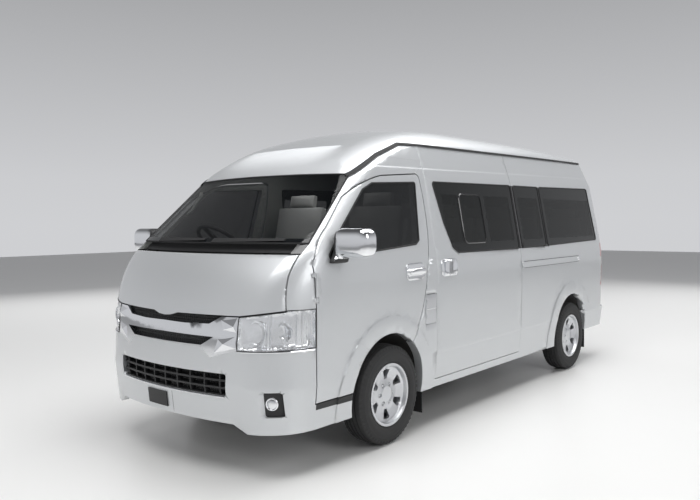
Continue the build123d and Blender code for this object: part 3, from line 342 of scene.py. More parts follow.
def settle(piece, name, finish, body, angle=PANEL_EDGE):
    """Puts a piece's place into its mesh, names and finishes it, and lets it ride on its body."""
    only(piece)
    bpy.ops.object.transform_apply(location=True, rotation=True, scale=True)
    bpy.ops.object.shade_smooth_by_angle(angle=math.radians(angle))
    piece.name = piece.data.name = name
    piece.data.materials.clear()
    piece.data.materials.append(FINISHES[finish])
    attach(piece, body)
    return piece


def modify(piece, kind, **settings):
    """Adds one modifier and applies it."""
    only(piece)
    change = piece.modifiers.new(kind.lower(), kind)
    for key, value in settings.items():
        setattr(change, key, value)
    bpy.ops.object.modifier_apply(modifier=change.name)
    return piece


def resize(piece, value):
    """Resizes what is selected of a piece's mesh."""
    only(piece)
    bpy.ops.object.mode_set(mode="EDIT")
    bpy.ops.transform.resize(value=value)
    bpy.ops.object.mode_set(mode="OBJECT")


def node_copy(node, keep=None):
    """A merged copy of a CAD node, with only the faces that keep(face) allows."""
    piece = added(node + "_piece", frame["nodes"][node].data.copy())
    bpy.ops.object.mode_set(mode="EDIT")
    bpy.ops.mesh.select_all(action="SELECT")
    bpy.ops.mesh.remove_doubles(threshold=MERGE)
    bpy.ops.mesh.select_all(action="DESELECT")
    bpy.ops.object.mode_set(mode="OBJECT")
    if keep:
        drop_faces(piece, lambda face: not keep(face))
    return piece


def drop_faces(piece, unwanted):
    """Deletes the faces for which unwanted(face) holds, and selects the rest."""
    only(piece)
    bpy.context.tool_settings.mesh_select_mode = (False, False, True)
    for face in piece.data.polygons:
        face.select = unwanted(face)
    bpy.ops.object.mode_set(mode="EDIT")
    bpy.ops.mesh.delete(type="FACE")
    bpy.ops.mesh.select_all(action="SELECT")
    bpy.ops.object.mode_set(mode="OBJECT")


def body_of(node):
    return frame["nodes"][node]["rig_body"]


def dress(node, name, finish, inside=None, lining="head_lining"):
    """A smooth copy in a CAD node's place; faces where inside(face) holds get the lining."""
    piece = settle(node_copy(node), name, finish, body_of(node))
    modify(piece, "WEIGHTED_NORMAL", keep_sharp=True, weight=80)
    if inside:
        piece.data.materials.append(FINISHES[lining])
        for face in piece.data.polygons:
            if inside(face):
                face.material_index = 1
    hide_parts(node)
    return piece


def skin_at(node, start, direction):
    """Where a line first meets a CAD node, or None."""
    if node not in SKINS:
        mesh = frame["nodes"][node].data
        SKINS[node] = BVHTree.FromPolygons([point.co for point in mesh.vertices],
                                           [face.vertices for face in mesh.polygons])
    return SKINS[node].ray_cast(Vector(start), Vector(direction))[0]


def nose_at(node, x, z):
    """Where a level line from ahead first meets a CAD node, or None."""
    return skin_at(node, (x, AHEAD_Y, z), (0, 1, 0))


def side_at(node, y, z, sign=1):
    """Where a level line from the left, or from the right by a sign of -1, meets a CAD node."""
    return skin_at(node, (sign * OUTSIDE_X, y, z), (-sign, 0, 0))


def joined(pieces):
    only(pieces[0])
    for piece in pieces[1:]:
        piece.select_set(True)
    if len(pieces) > 1:
        bpy.ops.object.join()
    return bpy.context.view_layer.objects.active


def bead(thickness, roundness, caps):
    """Turns the edges of the selected piece into a round bead."""
    bpy.ops.object.convert(target="CURVE")
    curve = bpy.context.object.data
    curve.bevel_depth = thickness
    curve.bevel_resolution = roundness
    curve.use_fill_caps = caps
    bpy.ops.object.convert(target="MESH")
    return bpy.context.object


def rim(piece, thickness):
    """A round bead along the open edges of a sheet."""
    only(piece)
    bpy.ops.object.mode_set(mode="EDIT")
    bpy.ops.mesh.select_all(action="SELECT")
    bpy.ops.mesh.region_to_loop()
    bpy.ops.mesh.select_all(action="INVERT")
    bpy.ops.mesh.delete(type="EDGE_FACE")
    bpy.ops.object.mode_set(mode="OBJECT")
    return bead(thickness, 1, False)


def row_mesh(name, points):
    """A mesh of points with an edge from each to the next."""
    mesh = bpy.data.meshes.new(name)
    mesh.from_pydata(points, [(i, i + 1) for i in range(len(points) - 1)], [])
    return mesh


def strip(points, thickness):
    """A round strip along a row of points."""
    added("strip", row_mesh("strip", points))
    return bead(thickness, 2, True)


def nose_strip(node, places, shift, thickness):
    """A round strip on the nose, along places given by x and z and moved by a shift."""
    return strip([nose_at(node, x, z) + Vector(shift) for x, z in places], thickness)


def inward(face):
    """True for a face that looks into the cabin."""
    middle, normal = face.center, face.normal
    if abs(middle.x) > CABIN_SIDE_X and normal.x * middle.x < 0 and abs(normal.x) > FACING:
        return True
    return normal.z < -FACING and middle.z > CEILING_Z


def lamp_front(face):
    """True for a face of a head lamp that looks forwards and out."""
    out = LAMP_OUT if face.center.x > 0 else -LAMP_OUT
    return face.normal.x * out - face.normal.y * LAMP_AHEAD > LAMP_FACING


class LookSettings(bpy.types.PropertyGroup):
    """Colours and sizes that a user may change."""
    paint: bpy.props.FloatVectorProperty(
        name="Paint", description="Colour of the silver paint",
        subtype="COLOR", default=(0.60, 0.615, 0.63))
    floor: bpy.props.FloatVectorProperty(
        name="Floor", description="Colour of the studio floor",
        subtype="COLOR", default=(0.80, 0.80, 0.79))
    seal: bpy.props.FloatProperty(
        name="Window seal", description="Radius of the rubber round the glass",
        default=0.006, unit="LENGTH")
    groove: bpy.props.FloatProperty(
        name="Tread groove", description="Depth of the tyre grooves",
        default=0.007, unit="LENGTH")
    crown: bpy.props.FloatProperty(
        name="Seat crown", description="How far the seat pads swell",
        default=0.022, unit="LENGTH")


class CameraSettings(bpy.types.PropertyGroup):
    """The view of the photograph."""
    place: bpy.props.FloatVectorProperty(
        name="Place", description="Where the camera stands",
        subtype="TRANSLATION", default=(3.720, -5.335, 1.512))
    azimuth: bpy.props.FloatProperty(
        name="Azimuth", description="Direction round the van",
        unit="ROTATION", default=math.radians(39.48))
    elevation: bpy.props.FloatProperty(
        name="Elevation", description="Height above the horizon",
        unit="ROTATION", default=math.radians(2.26))
    roll: bpy.props.FloatProperty(
        name="Roll", description="Turn about the line of sight",
        unit="ROTATION", default=math.radians(-0.46))
    lens: bpy.props.FloatProperty(
        name="Lens", description="Focal length on a 36 mm frame", default=36.2)


class VAN_OT_panels(bpy.types.Operator):
    """Makes the painted panels, with the lining of the cabin on their inner sides"""
    bl_idname = "van.panels"
    bl_label = "Body panels"

    def execute(self, context):
        for node in ("roof", "side_frame_left", "side_frame_right", "quarter_left",
                     "side_wall_right", "slide_door", "front_door_left", "front_door_right"):
            dress(node, node + "_panel", "silver_paint", inward)
        dress("tailgate", "tailgate_panel", "silver_paint",
              lambda face: face.normal.y < -FACING)
        for node in ("bonnet", "front_bumper", "rear_bumper"):
            dress(node, node + "_panel", "silver_paint")
        dress("door_steps", "door_step_treads", "black_plastic")
        dress("cowl", "cowl_panel", "black_plastic")
        dress("gutters", "gutter_strips", "rubber")
        return {"FINISHED"}


class VAN_OT_glass(bpy.types.Operator):
    """Makes the windows and the rubber round them"""
    bl_idname = "van.glass"
    bl_label = "Glass"

    PANES = (("windscreen", Vector((0, -1, 0)), 0.2, "screen_glass"),
             ("side_glass_left", Vector((1, 0, 0)), 0.5, "tinted_glass"),
             ("side_glass_right", Vector((-1, 0, 0)), 0.5, "tinted_glass"),
             ("door_glass_left", Vector((1, 0, 0)), 0.5, "door_window"),
             ("door_glass_right", Vector((-1, 0, 0)), 0.5, "door_window"),
             ("tailgate_glass", Vector((0, 1, 0)), 0.5, "tinted_glass"))
    SLIDER_MIDDLE, SLIDER_SIZE = (0, -0.318, 1.533), (0.385, 0.352, 1)
    SLIDER_CORNER, SLIDER_BEAD = 0.045, 0.007

    def execute(self, context):
        seal = context.scene.van_look.seal
        for node, outward, share, finish in self.PANES:
            dress(node, node + "_pane", finish)
            edge = rim(node_copy(node, lambda face: face.normal.dot(outward) > share), seal)
            settle(edge, node + "_seal", "rubber", body_of(node))
        for side, sign in SIDES:
            bpy.ops.mesh.primitive_plane_add(size=1, rotation=(0, math.pi / 2, 0),
                                             location=self.SLIDER_MIDDLE)
            slider = context.object
            slider.scale = self.SLIDER_SIZE
            bpy.ops.object.transform_apply(location=True, rotation=True, scale=True)
            bpy.ops.object.mode_set(mode="EDIT")
            bpy.ops.mesh.select_all(action="SELECT")
            bpy.ops.mesh.bevel(offset=self.SLIDER_CORNER, segments=5, affect="VERTICES")
            bpy.ops.mesh.subdivide(number_cuts=1)
            bpy.ops.object.mode_set(mode="OBJECT")
            for point in slider.data.vertices:
                point.co.x = side_at("side_glass_" + side, point.co.y, point.co.z, sign).x
            settle(rim(slider, self.SLIDER_BEAD), "slider_frame_" + side, "gloss_black", "body")
        return {"FINISHED"}


class VAN_OT_lamps(bpy.types.Operator):
    """Makes the head lamps, fog lamps and tail lamps"""
    bl_idname = "van.lamps"
    bl_label = "Lamps"

    LENS_WALL, CASE_WALL, EDGE = 0.003, 0.002, 0.0035
    RIBS_X, RIBS_Z = (0.772, 0.893), [z / 1000 for z in range(790, 976, 23)]
    RIB_DEPTH, RIB = 0.010, 0.006
    BOWLS = ((0.70, 0.868, 0.072), (0.83, 0.875, 0.055))  # x, z and radius of each
    BOWL_DEPTH, BULB_DEPTH = 0.016, 0.03
    BULB_RADIUS, BULB_LENGTH, BULB_EDGE = 0.009, 0.026, 0.004
    FOG_X, FOG_Z, FOG_TURN = 0.783, 0.456, 0.5
    FOG_RING, FOG_WIRE, FOG_GLASS = 0.034, 0.006, 0.032
    FOG_RING_OUT, FOG_GLASS_OUT = 0.004, 0.002

    def bowl(self, place, radius):
        """Half a flattened ball, open to the front."""
        bpy.ops.mesh.primitive_uv_sphere_add(segments=32, ring_count=16, radius=radius,
                                             location=place, rotation=UPRIGHT)
        bowl = bpy.context.object
        bpy.ops.object.transform_apply(location=False, rotation=True, scale=False)
        drop_faces(bowl, lambda face: face.center.y < -0.0001)
        resize(bowl, (1, 0.5, 1))
        return modify(bowl, "SOLIDIFY", thickness=self.CASE_WALL, offset=1)

    def bulb(self, place):
        bpy.ops.mesh.primitive_cylinder_add(vertices=20, radius=self.BULB_RADIUS,
                                            depth=self.BULB_LENGTH, location=place,
                                            rotation=UPRIGHT)
        return modify(bpy.context.object, "BEVEL", width=self.BULB_EDGE, segments=3)

    def head_lamps(self):
        lens = node_copy("headlamps", lamp_front)
        modify(lens, "SOLIDIFY", thickness=self.LENS_WALL, offset=-1)
        settle(lens, "headlamp_lenses", "lamp_lens", "body")
        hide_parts("headlamps")
        case = node_copy("headlamps", lambda face: not lamp_front(face))
        modify(case, "SOLIDIFY", thickness=self.CASE_WALL, offset=-1)
        settle(case, "headlamp_cases", "lamp_bowl", "body")
        edge = rim(node_copy("headlamps", lamp_front), self.EDGE)
        settle(edge, "headlamp_edges", "gloss_black", "body")
        ribs, bowls, bulbs = [], [], []
        for _, sign in SIDES:
            for x in self.RIBS_X:
                places = [(sign * x, z) for z in self.RIBS_Z]
                ribs.append(nose_strip("headlamps", places, (0, self.RIB_DEPTH, 0), self.RIB))
        settle(joined(ribs), "headlamp_ribs", "lamp_bowl", "body")
        for _, sign in SIDES:
            for x, z, radius in self.BOWLS:
                front = nose_at("headlamps", sign * x, z).y
                bowls.append(self.bowl((sign * x, front + self.BOWL_DEPTH, z), radius))
                bulbs.append(self.bulb((sign * x, front + self.BULB_DEPTH, z)))
        settle(joined(bowls), "headlamp_bowls", "chrome", "body")
        settle(joined(bulbs), "headlamp_bulbs", "lamp_lens", "body")

    def fog_lamps(self):
        dress("fog_lamps", "fog_lamp_pockets", "black_plastic")
        rings, glasses = [], []
        for _, sign in SIDES:
            x, z, turn = sign * self.FOG_X, self.FOG_Z, sign * self.FOG_TURN
            front = nose_at("fog_lamps", x, z).y
            bpy.ops.mesh.primitive_torus_add(major_radius=self.FOG_RING, minor_radius=self.FOG_WIRE,
                                             major_segments=40, minor_segments=12,
                                             rotation=(math.pi / 2, 0, turn),
                                             location=(x, front - self.FOG_RING_OUT, z))
            rings.append(bpy.context.object)
            bpy.ops.mesh.primitive_uv_sphere_add(segments=32, ring_count=16,
                                                 radius=self.FOG_GLASS,
                                                 location=(x, front - self.FOG_GLASS_OUT, z))
            glass = bpy.context.object
            resize(glass, (1, 0.35, 1))
            glass.rotation_euler.z = turn
            glasses.append(glass)
        settle(joined(rings), "fog_lamp_rings", "chrome", "body")
        settle(joined(glasses), "fog_lamp_glasses", "lamp_bowl", "body")

    def execute(self, context):
        self.head_lamps()
        self.fog_lamps()
        dress("tail_lamps", "tail_lamp_lenses", "red_lens")
        return {"FINISHED"}


class VAN_OT_grilles(bpy.types.Operator):
    """Makes the bright grille and the mesh behind its slots"""
    bl_idname = "van.grilles"
    bl_label = "Grilles"

    LIP = [(x / 100, 0.478) for x in range(-52, 53, 4)]
    SEAM = [(0.08, z / 1000) for z in range(340, 471, 26)]
    UNDERLINE = [(x / 1000, 0.757) for x in range(630, 921, 29)]
    LIP_SHIFT, SEAM_SHIFT, UNDERLINE_SHIFT = (0, 0.001, 0.004), (0, 0.0012, 0), (0, 0.001, 0.003)
    BRIGHT_LINE, SEAM_LINE = 0.006, 0.002
    FACETS = (  # the outline and the tip of each, by x and z
        (((0.478, 0.940), (0.598, 0.958), (0.598, 0.870), (0.500, 0.880)), (0.585, 0.905)),
        (((0.470, 0.826), (0.598, 0.850), (0.612, 0.778), (0.535, 0.760), (0.440, 0.735)),
         (0.520, 0.800)))
    FACET_RISE, FACET_SINK, NOSE_Y = -0.012, 0.0005, -2.62
    MESHES = (  # name, node in front, height of its curve, half width, low, high, set back
        ("upper_mesh", "grille", 0.87, 0.50, 0.775, 0.955, 0.045),
        ("lower_mesh", "front_bumper", 0.66, 0.53, 0.485, 0.625, 0.06))
    # the sheet behind the wires is painted shade: SHADE_GAP sets it back and SHADE_WALL gives its
    # thickness
    WIRE, SHADE_GAP, SHADE_WALL = 0.004, 0.012, 0.003

    def facet(self, outline, peak, sign):
        """A low peak on a bright wedge."""
        bpy.ops.mesh.primitive_circle_add(vertices=len(outline), fill_type="TRIFAN")
        facet = bpy.context.object
        tip = min(facet.data.vertices, key=lambda point: point.co.length)
        ring = [point for point in facet.data.vertices if point != tip]
        for point, (x, z) in (*zip(ring, outline), (tip, peak)):
            place = nose_at("grille", sign * x, z)
            if place is None:
                place = SKINS["grille"].find_nearest(Vector((sign * x, self.NOSE_Y, z)))[0]
            rise = self.FACET_RISE if point == tip else self.FACET_SINK
            point.co = place + Vector((0, rise, 0))
        bpy.ops.object.mode_set(mode="EDIT")
        bpy.ops.mesh.select_all(action="SELECT")
        bpy.ops.mesh.normals_make_consistent(inside=False)
        bpy.ops.object.mode_set(mode="OBJECT")
        return facet

    def mesh(self, name, source, at, half, low, high, back):
        """Wires over a dark sheet of painted shade, behind the slots of a node."""
        bpy.ops.mesh.primitive_grid_add(x_subdivisions=56, y_subdivisions=10, size=1,
                                        rotation=UPRIGHT)
        sheet = bpy.context.object
        sheet.scale = (2 * half, high - low, 1)
        sheet.location.z = (low + high) / 2
        bpy.ops.object.transform_apply(location=True, rotation=True, scale=True)
        for point in sheet.data.vertices:
            point.co.y = nose_at(source, point.co.x, at).y + back
        wires = added(name + "_wires", sheet.data.copy())
        modify(wires, "WIREFRAME", thickness=self.WIRE)
        settle(wires, name + "_wires", "gloss_black", "body")
        # a dark sheet of painted shade, standing in for the dark space behind the slots
        for point in sheet.data.vertices:
            point.co.y += self.SHADE_GAP
        modify(sheet, "SOLIDIFY", thickness=self.SHADE_WALL)
        settle(sheet, name + "_shade", "black_plastic", "body")

    def execute(self, context):
        dress("grille", "grille_frame", "chrome")
        dress("lower_grille", "lower_grille_slats", "black_plastic")
        settle(nose_strip("front_bumper", self.LIP, self.LIP_SHIFT, self.BRIGHT_LINE),
               "lower_grille_lip", "chrome", "body")
        settle(nose_strip("front_bumper", self.SEAM, self.SEAM_SHIFT, self.SEAM_LINE),
               "bumper_seam", "rubber", "body")
        lines = []
        for _, sign in SIDES:
            places = [(sign * x, z) for x, z in self.UNDERLINE]
            lines.append(nose_strip("front_bumper", places, self.UNDERLINE_SHIFT,
                                    self.BRIGHT_LINE))
        settle(joined(lines), "headlamp_underlines", "chrome", "body")
        facets = [self.facet(outline, peak, sign)
                  for _, sign in SIDES for outline, peak in self.FACETS]
        settle(joined(facets), "grille_facets", "chrome", "body", FACET_EDGE)
        for row in self.MESHES:
            self.mesh(*row)
        return {"FINISHED"}


class VAN_OT_trim(bpy.types.Operator):
    """Makes handles, mirrors, fuel lid, mouldings and wipers"""
    bl_idname = "van.trim"
    bl_label = "Trim"

    MIRROR_VOXEL, MIRROR_ROUNDS = 0.005, 70
    MIRROR_ARM_X, MIRROR_FOOT_Z, MIRROR_FACING = 0.95, 1.292, 0.9
    SLIDE_HANDLE_Y = -0.5
    RAIL_TIP_Y, RAIL_TIP_Z, RAIL_TIP_RADIUS, RAIL_LINE = 1.735, 1.121, 0.017, 0.0022
    RAIL_LINES_Y, RAIL_LINES_Z = [y / 100 for y in range(50, 177, 9)], (1.0925, 1.1495)
    LID_MIDDLE = (-1.02, 0.878)
    LID_LINE_Y, LID_LINE_Z, LID_LINE_SIZE = -1.022, 0.880, (0.004, 0.126, 0.007)

    def mirror(self, side):
        node = "mirror_" + side
        mirror = modify(node_copy(node), "REMESH", mode="VOXEL", voxel_size=self.MIRROR_VOXEL)
        modify(mirror, "SMOOTH", factor=0.5, iterations=self.MIRROR_ROUNDS)
        settle(mirror, "door_mirror_" + side, "chrome", body_of(node), ROUND_EDGE)
        mirror.data.materials.append(FINISHES["black_plastic"])
        mirror.data.materials.append(FINISHES["gloss_black"])
        for face in mirror.data.polygons:
            if abs(face.center.x) < self.MIRROR_ARM_X or face.center.z < self.MIRROR_FOOT_Z:
                face.material_index = 1
            elif face.normal.y > self.MIRROR_FACING:
                face.material_index = 2
        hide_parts(node)

    def slide_rail(self):
        dress("slide_trim", "slide_rail_cover", "silver_paint",
              lambda face: face.center.y < self.SLIDE_HANDLE_Y, "chrome")
        y, z = self.RAIL_TIP_Y, self.RAIL_TIP_Z
        bpy.ops.mesh.primitive_uv_sphere_add(segments=20, ring_count=12,
                                             radius=self.RAIL_TIP_RADIUS,
                                             location=(side_at("slide_trim", y, z).x, y, z))
        tip = bpy.context.object
        resize(tip, (0.5, 1.3, 1))
        settle(tip, "slide_rail_tip", "chrome", "body")
        lines = []
        for z in self.RAIL_LINES_Z:
            row = [side_at("quarter_left", y, z) for y in self.RAIL_LINES_Y]
            lines.append(strip([point for point in row if point], self.RAIL_LINE))
        settle(joined(lines), "slide_rail_lines", "rubber", "body")

    def fuel_lid(self):
        dress("fuel_lid", "fuel_lid_cover", "alloy")
        front = side_at("fuel_lid", *self.LID_MIDDLE).x
        bpy.ops.mesh.primitive_cube_add(size=1, location=(front, self.LID_LINE_Y, self.LID_LINE_Z))
        line = bpy.context.object
        line.scale = self.LID_LINE_SIZE
        bpy.ops.object.transform_apply(location=False, rotation=False, scale=True)
        modify(line, "BEVEL", width=0.001, segments=2)
        settle(line, "fuel_lid_joint", "chrome", "fuel_lid")

    def execute(self, context):
        for side, _ in SIDES:
            dress("handle_" + side, "door_handle_" + side, "chrome")
            self.mirror(side)
        self.slide_rail()
        self.fuel_lid()
        dress("wipers", "wiper_arms", "rubber")
        dress("mud_flaps", "mud_flap_sheets", "rubber")
        return {"FINISHED"}


class VAN_OT_cabin(bpy.types.Operator):
    """Makes the dash, steering wheel, floor and bulkhead"""
    bl_idname = "van.cabin"
    bl_label = "Cabin"

    GRIP = ((-0.755, -1.90, 1.58), (-0.735, -1.90, 1.585), (-0.715, -1.875, 1.62),
            (-0.708, -1.82, 1.70), (-0.715, -1.78, 1.745), (-0.745, -1.775, 1.75))
    GRIP_RADIUS = 0.012
    FLOOR_UNDER = 0.3

    def execute(self, context):
        dress("dashboard", "dash_top", "dash_plastic")
        dress("steering_wheel", "steering_rim", "dash_plastic")
        dress("floor_pan", "cabin_floor", "floor_mat",
              lambda face: face.normal.z < -self.FLOOR_UNDER, "chassis_paint")
        dress("bulkhead", "bulkhead_panel", "chassis_paint")
        settle(strip(self.GRIP, self.GRIP_RADIUS), "pillar_grip", "head_lining", "body",
               ROUND_EDGE)
        return {"FINISHED"}


class VAN_OT_seats(bpy.types.Operator):
    """Makes the padded seats and their feet"""
    bl_idname = "van.seats"
    bl_label = "Seats"

    ROWS = (  # name, node, places, floor height, seat height, width, height of the back
        ("front_seat", "front_seats", FRONT_SEATS, 0.84, 0.945, 0.50, 0.64),
        ("rear_seat", "rear_seats", REAR_SEATS, 0.58, 0.89, 0.44, 0.60))
    LEAN = math.radians(-12)
    CUSHION_DEPTH, CUSHION_HEIGHT, BACK_DEPTH = 0.47, 0.12, 0.11
    HEAD_REST, HEAD_RISE = (0.27, 0.09, 0.15), 0.055
    THIN, PAD_EDGE, FOOT_EDGE = 0.2, 0.03, 0.012
    CHANNEL_AT, CHANNEL_WIDTH, CHANNEL_DEPTH = 0.62, 0.07, 0.12
    FOOT_WIDTH, FOOT_LENGTH, FOOT_GAP = 0.11, 0.30, 0.002

    def pad(self, size, place, lean, crown):
        """A pad that swells towards its middle, with two sewn channels."""
        bpy.ops.mesh.primitive_cube_add(size=1, location=place, rotation=(lean, 0, 0))
        pad = bpy.context.object
        pad.scale = [side - 2 * crown * (side < self.THIN) for side in size]
        bpy.ops.object.transform_apply(location=False, rotation=False, scale=True)
        bpy.ops.object.mode_set(mode="EDIT")
        bpy.ops.mesh.subdivide(number_cuts=5)
        bpy.ops.object.mode_set(mode="OBJECT")
        half = [max(abs(point.co[axis]) for point in pad.data.vertices) for axis in range(3)]
        thin = min(range(3), key=lambda axis: half[axis])
        wide = [axis for axis in range(3) if axis != thin]
        for point in pad.data.vertices:
            share = [point.co[axis] / half[axis] for axis in wide]
            swell = (1 - share[0] ** 4) * (1 - share[1] ** 4)
            point.co[thin] += crown * swell * (1 if point.co[thin] > 0 else -1)
            channel = math.exp(-((abs(share[0]) - self.CHANNEL_AT) / self.CHANNEL_WIDTH) ** 2)
            point.co[thin] *= 1 - self.CHANNEL_DEPTH * channel
        modify(pad, "BEVEL", width=self.PAD_EDGE, segments=2, limit_method="ANGLE")
        return modify(pad, "SUBSURF", levels=1, render_levels=1)

    def foot(self, x, y, low, high):
        bpy.ops.mesh.primitive_cube_add(size=1, location=(x, y, (low + high) / 2))
        foot = bpy.context.object
        foot.scale = (self.FOOT_WIDTH, self.FOOT_LENGTH, high - low - self.FOOT_GAP)
        bpy.ops.object.transform_apply(location=False, rotation=False, scale=True)
        return modify(foot, "BEVEL", width=self.FOOT_EDGE, segments=2)

    def execute(self, context):
        crown = context.scene.van_look.crown
        up = Vector((0, math.sin(-self.LEAN), math.cos(self.LEAN)))
        for name, node, places, floor, seat, width, back in self.ROWS:
            middle = seat + self.CUSHION_HEIGHT / 2
            cushion = (width, self.CUSHION_DEPTH, self.CUSHION_HEIGHT)
            pads, feet = [], []
            for x, y in places:
                base = Vector((x, y + self.CUSHION_DEPTH / 2, middle))
                head = base + up * (back + self.HEAD_RISE)
                pads.append(self.pad(cushion, (x, y, middle), 0, crown))
                pads.append(self.pad((width, self.BACK_DEPTH, back), base + up * back / 2,
                                     self.LEAN, crown))
                pads.append(self.pad(self.HEAD_REST, head, self.LEAN, crown))
                feet.append(self.foot(x, y, floor, seat))
            cushions = settle(joined(pads), name + "_pads", "seat_cloth", "body",
                              ROUND_EDGE)
            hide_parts(node)
            settle(joined(feet), name + "_feet", "dash_plastic", "body")
        return {"FINISHED"}


class VAN_OT_wheels(bpy.types.Operator):
    """Makes the alloy wheels and the tyres with their tread"""
    bl_idname = "van.wheels"
    bl_label = "Wheels"

    WALL = ((0.071, 0.205), (0.077, 0.212), (0.090, 0.228), (0.093, 0.232), (0.0945, 0.240),
            (0.0955, 0.243), (0.0975, 0.258), (0.0975, 0.272), (0.0965, 0.275), (0.0960, 0.290),
            (0.0970, 0.292), (0.0930, 0.310), (0.0905, 0.313), (0.0860, 0.324), (0.0800, 0.331),
            (0.0700, 0.3345), (0.0530, 0.3360))
    GROOVES = ((0.0515, 0.3365, 0.0425, 0.3368), (0.0200, 0.3395, 0.0100, 0.3398))
    GROOVE_SLOPE, CROWN = 0.001, (0.0, 0.34)
    STEPS = 120
    LUG_X, LUG_RADIUS, LUG_SHARE = 0.078, 0.305, 0.945

    def section(self, depth):
        """The tyre's section, from one edge of the rim over the tread to the other."""
        edge = list(self.WALL)
        for outer, outer_z, inner, inner_z in self.GROOVES:
            edge += [(outer, outer_z), (outer - self.GROOVE_SLOPE, outer_z - depth),
                     (inner + self.GROOVE_SLOPE, outer_z - depth), (inner, inner_z)]
        return edge + [self.CROWN] + [(-x, z) for x, z in reversed(edge)]

    def tyre(self, depth, place, flat=False):
        edge = [(x, 0, z) for x, z in self.section(depth)]
        tyre = added("tyre_section", row_mesh("tyre_section", edge))
        bpy.ops.object.mode_set(mode="EDIT")
        bpy.ops.mesh.select_all(action="SELECT")
        bpy.ops.mesh.spin(steps=self.STEPS, angle=2 * math.pi, center=(0, 0, 0), axis=(1, 0, 0))
        bpy.ops.mesh.select_all(action="SELECT")
        bpy.ops.mesh.remove_doubles(threshold=MERGE)
        bpy.ops.mesh.normals_make_consistent(inside=False)
        bpy.ops.object.mode_set(mode="OBJECT")
        for point in tyre.data.vertices:
            x, y, z = point.co
            step = round(math.atan2(z, y) / math.radians(360 / self.STEPS))
            if step % 2 and abs(x) > self.LUG_X and math.hypot(y, z) > self.LUG_RADIUS:
                point.co.x *= self.LUG_SHARE
        if flat:
            tyre.rotation_euler.y = math.pi / 2
        tyre.location = place
        return tyre

    def execute(self, context):
        depth = context.scene.van_look.groove
        for name, (x, y) in WHEELS.items():
            dress("wheel_" + name, "alloy_wheel_" + name, "alloy")
            tyre = self.tyre(depth, (x, y, AXLE_Z))
            settle(tyre, "tread_tyre_" + name, "tyre_rubber", body_of("tyre_" + name),
                   TYRE_EDGE)
            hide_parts("tyre_" + name)
        low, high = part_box("spare_tyre")
        tyre = self.tyre(depth, (low + high) / 2, True)
        settle(tyre, "tread_tyre_spare", "tyre_rubber", "body", TYRE_EDGE)
        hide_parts("spare_tyre")
        return {"FINISHED"}


class VAN_OT_underside(bpy.types.Operator):
    """Makes the frame, axles, engine, exhaust and tank under the floor"""
    bl_idname = "van.underside"
    bl_label = "Underside"

    NODES = ("chassis", "leaf_springs", "front_arms", "rear_axle", "knuckle_left", "knuckle_right",
             "engine", "propeller_shaft", "fuel_tank", "exhaust", "radiator")
    CAST = ("knuckle_left", "knuckle_right", "engine", "propeller_shaft", "exhaust")

    def execute(self, context):
        for node in self.NODES:
            finish = "cast_metal" if node in self.CAST else "chassis_paint"
            dress(node, node + "_metal", finish)
        return {"FINISHED"}


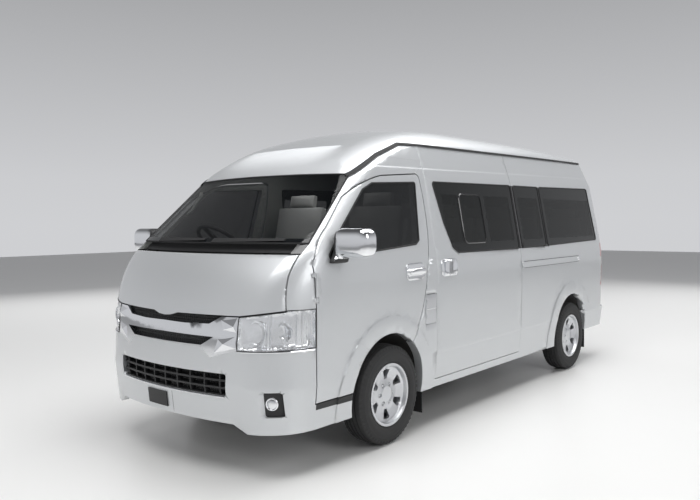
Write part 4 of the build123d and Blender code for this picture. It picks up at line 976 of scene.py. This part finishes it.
class VAN_OT_stage(bpy.types.Operator):
    """Makes the floor, the lights and the camera"""
    bl_idname = "van.stage"
    bl_label = "Stage"

    FLOOR_SIZE = 60
    AIR = ((0.0, 0.62), (0.06, 0.60), (0.35, 0.34), (0.62, 0.12))  # height and shade
    AIR_TOP = (0.05, 0.05, 0.052, 1)
    LIGHTS = (  # name, place, aim, size, power
        ("ceiling_front", (0.6, -4.6, 7.0), (0.2, -3.0, 0), 4.0, 220),
        ("ceiling_middle", (1.4, -0.2, 7.0), (0.6, 0, 0), 4.0, 230),
        ("ceiling_back", (1.4, 4.4, 7.0), (0.6, 3.0, 0), 4.0, 210),
        ("side", (9.5, -2.0, 5.5), (0, 0, 1.0), 5.0, 270),
        ("nose", (-1.5, -10.5, 5.0), (0, -2, 0.8), 5.0, 230),
        ("far_side", (-9.5, 2.0, 5.5), (0, 0, 1.0), 6.0, 380),
        ("tail", (1.0, 10.5, 5.0), (0, 2, 0.8), 5.0, 300),
        ("cabin", (0.0, -1.35, 2.05), (0, -1.6, 0), 0.9, 8))
    FRAME_WIDTH, FAR = 36, 200

    def floor(self):
        bpy.ops.mesh.primitive_plane_add(size=self.FLOOR_SIZE, location=(0, 0, 0))
        floor = bpy.context.object
        floor.name = "studio_floor"
        floor.data.materials.append(FINISHES["studio_floor"])

    def air(self, scene):
        """Light from all round, darker towards the top."""
        scene.world = bpy.data.worlds.new("studio_air")
        scene.world.use_nodes = True
        tree = scene.world.node_tree
        height = tree.nodes.new("ShaderNodeSeparateXYZ")
        ramp = tree.nodes.new("ShaderNodeValToRGB")
        stops = ramp.color_ramp.elements
        for place, shade in self.AIR:
            stop = stops[0] if place == 0 else stops.new(place)
            stop.position, stop.color = place, (shade, shade * 1.01, shade * 1.04, 1)
        stops[-1].color = self.AIR_TOP
        place = tree.nodes.new("ShaderNodeTexCoord").outputs["Generated"]
        tree.links.new(place, height.inputs[0])
        tree.links.new(height.outputs["Z"], ramp.inputs[0])
        tree.links.new(ramp.outputs[0], tree.nodes["Background"].inputs[0])

    def lights(self):
        for name, place, aim, size, power in self.LIGHTS:
            bpy.ops.object.light_add(type="AREA", location=place)
            light = bpy.context.object
            light.name = name + "_light"
            light.data.size = size
            light.data.energy = power
            light.visible_glossy = name.startswith("ceiling") or name == "side"
            sight = Vector(aim) - Vector(place)
            light.rotation_euler = sight.to_track_quat("-Z", "Y").to_euler()

    def camera(self, scene):
        view = scene.van_camera
        bpy.ops.object.camera_add(location=view.place)
        camera = bpy.context.object
        level = math.cos(view.elevation)
        sight = Vector((-math.sin(view.azimuth) * level, math.cos(view.azimuth) * level,
                        -math.sin(view.elevation)))
        camera.rotation_euler = sight.to_track_quat("-Z", "Y").to_euler()
        camera.rotation_euler.rotate_axis("Z", view.roll)
        camera.data.sensor_fit = "HORIZONTAL"
        camera.data.sensor_width = self.FRAME_WIDTH
        camera.data.lens = view.lens
        camera.data.clip_end = self.FAR
        bpy.context.scene.camera = camera

    def execute(self, context):
        self.floor()
        self.air(context.scene)
        self.lights()
        self.camera(context.scene)
        context.scene.view_settings.view_transform = "Standard"
        return {"FINISHED"}


STEPS = (VAN_OT_panels, VAN_OT_glass, VAN_OT_lamps, VAN_OT_grilles, VAN_OT_trim, VAN_OT_cabin,
         VAN_OT_seats, VAN_OT_wheels, VAN_OT_underside, VAN_OT_stage)


class VAN_PT_steps(bpy.types.Panel):
    """Lists the steps in making the van"""
    bl_idname = "VAN_PT_steps"
    bl_label = "Passenger van"
    bl_space_type = "VIEW_3D"
    bl_region_type = "UI"
    bl_category = "Van"

    def draw(self, context):
        for step in STEPS:
            self.layout.operator(step.bl_idname)


CLASSES = (LookSettings, CameraSettings, *STEPS, VAN_PT_steps)


def register():
    for item in CLASSES:
        bpy.utils.register_class(item)
    bpy.types.Scene.van_look = bpy.props.PointerProperty(type=LookSettings)
    bpy.types.Scene.van_camera = bpy.props.PointerProperty(type=CameraSettings)


def unregister():
    del bpy.types.Scene.van_look
    del bpy.types.Scene.van_camera
    for item in reversed(CLASSES):
        bpy.utils.unregister_class(item)


def main():
    register()
    make_finishes(bpy.context.scene.van_look)
    bpy.ops.van.panels()
    bpy.ops.van.glass()
    bpy.ops.van.lamps()
    bpy.ops.van.grilles()
    bpy.ops.van.trim()
    bpy.ops.van.cabin()
    bpy.ops.van.seats()
    bpy.ops.van.wheels()
    bpy.ops.van.underside()
    bpy.ops.van.stage()


if __name__ == "__main__":
    main()
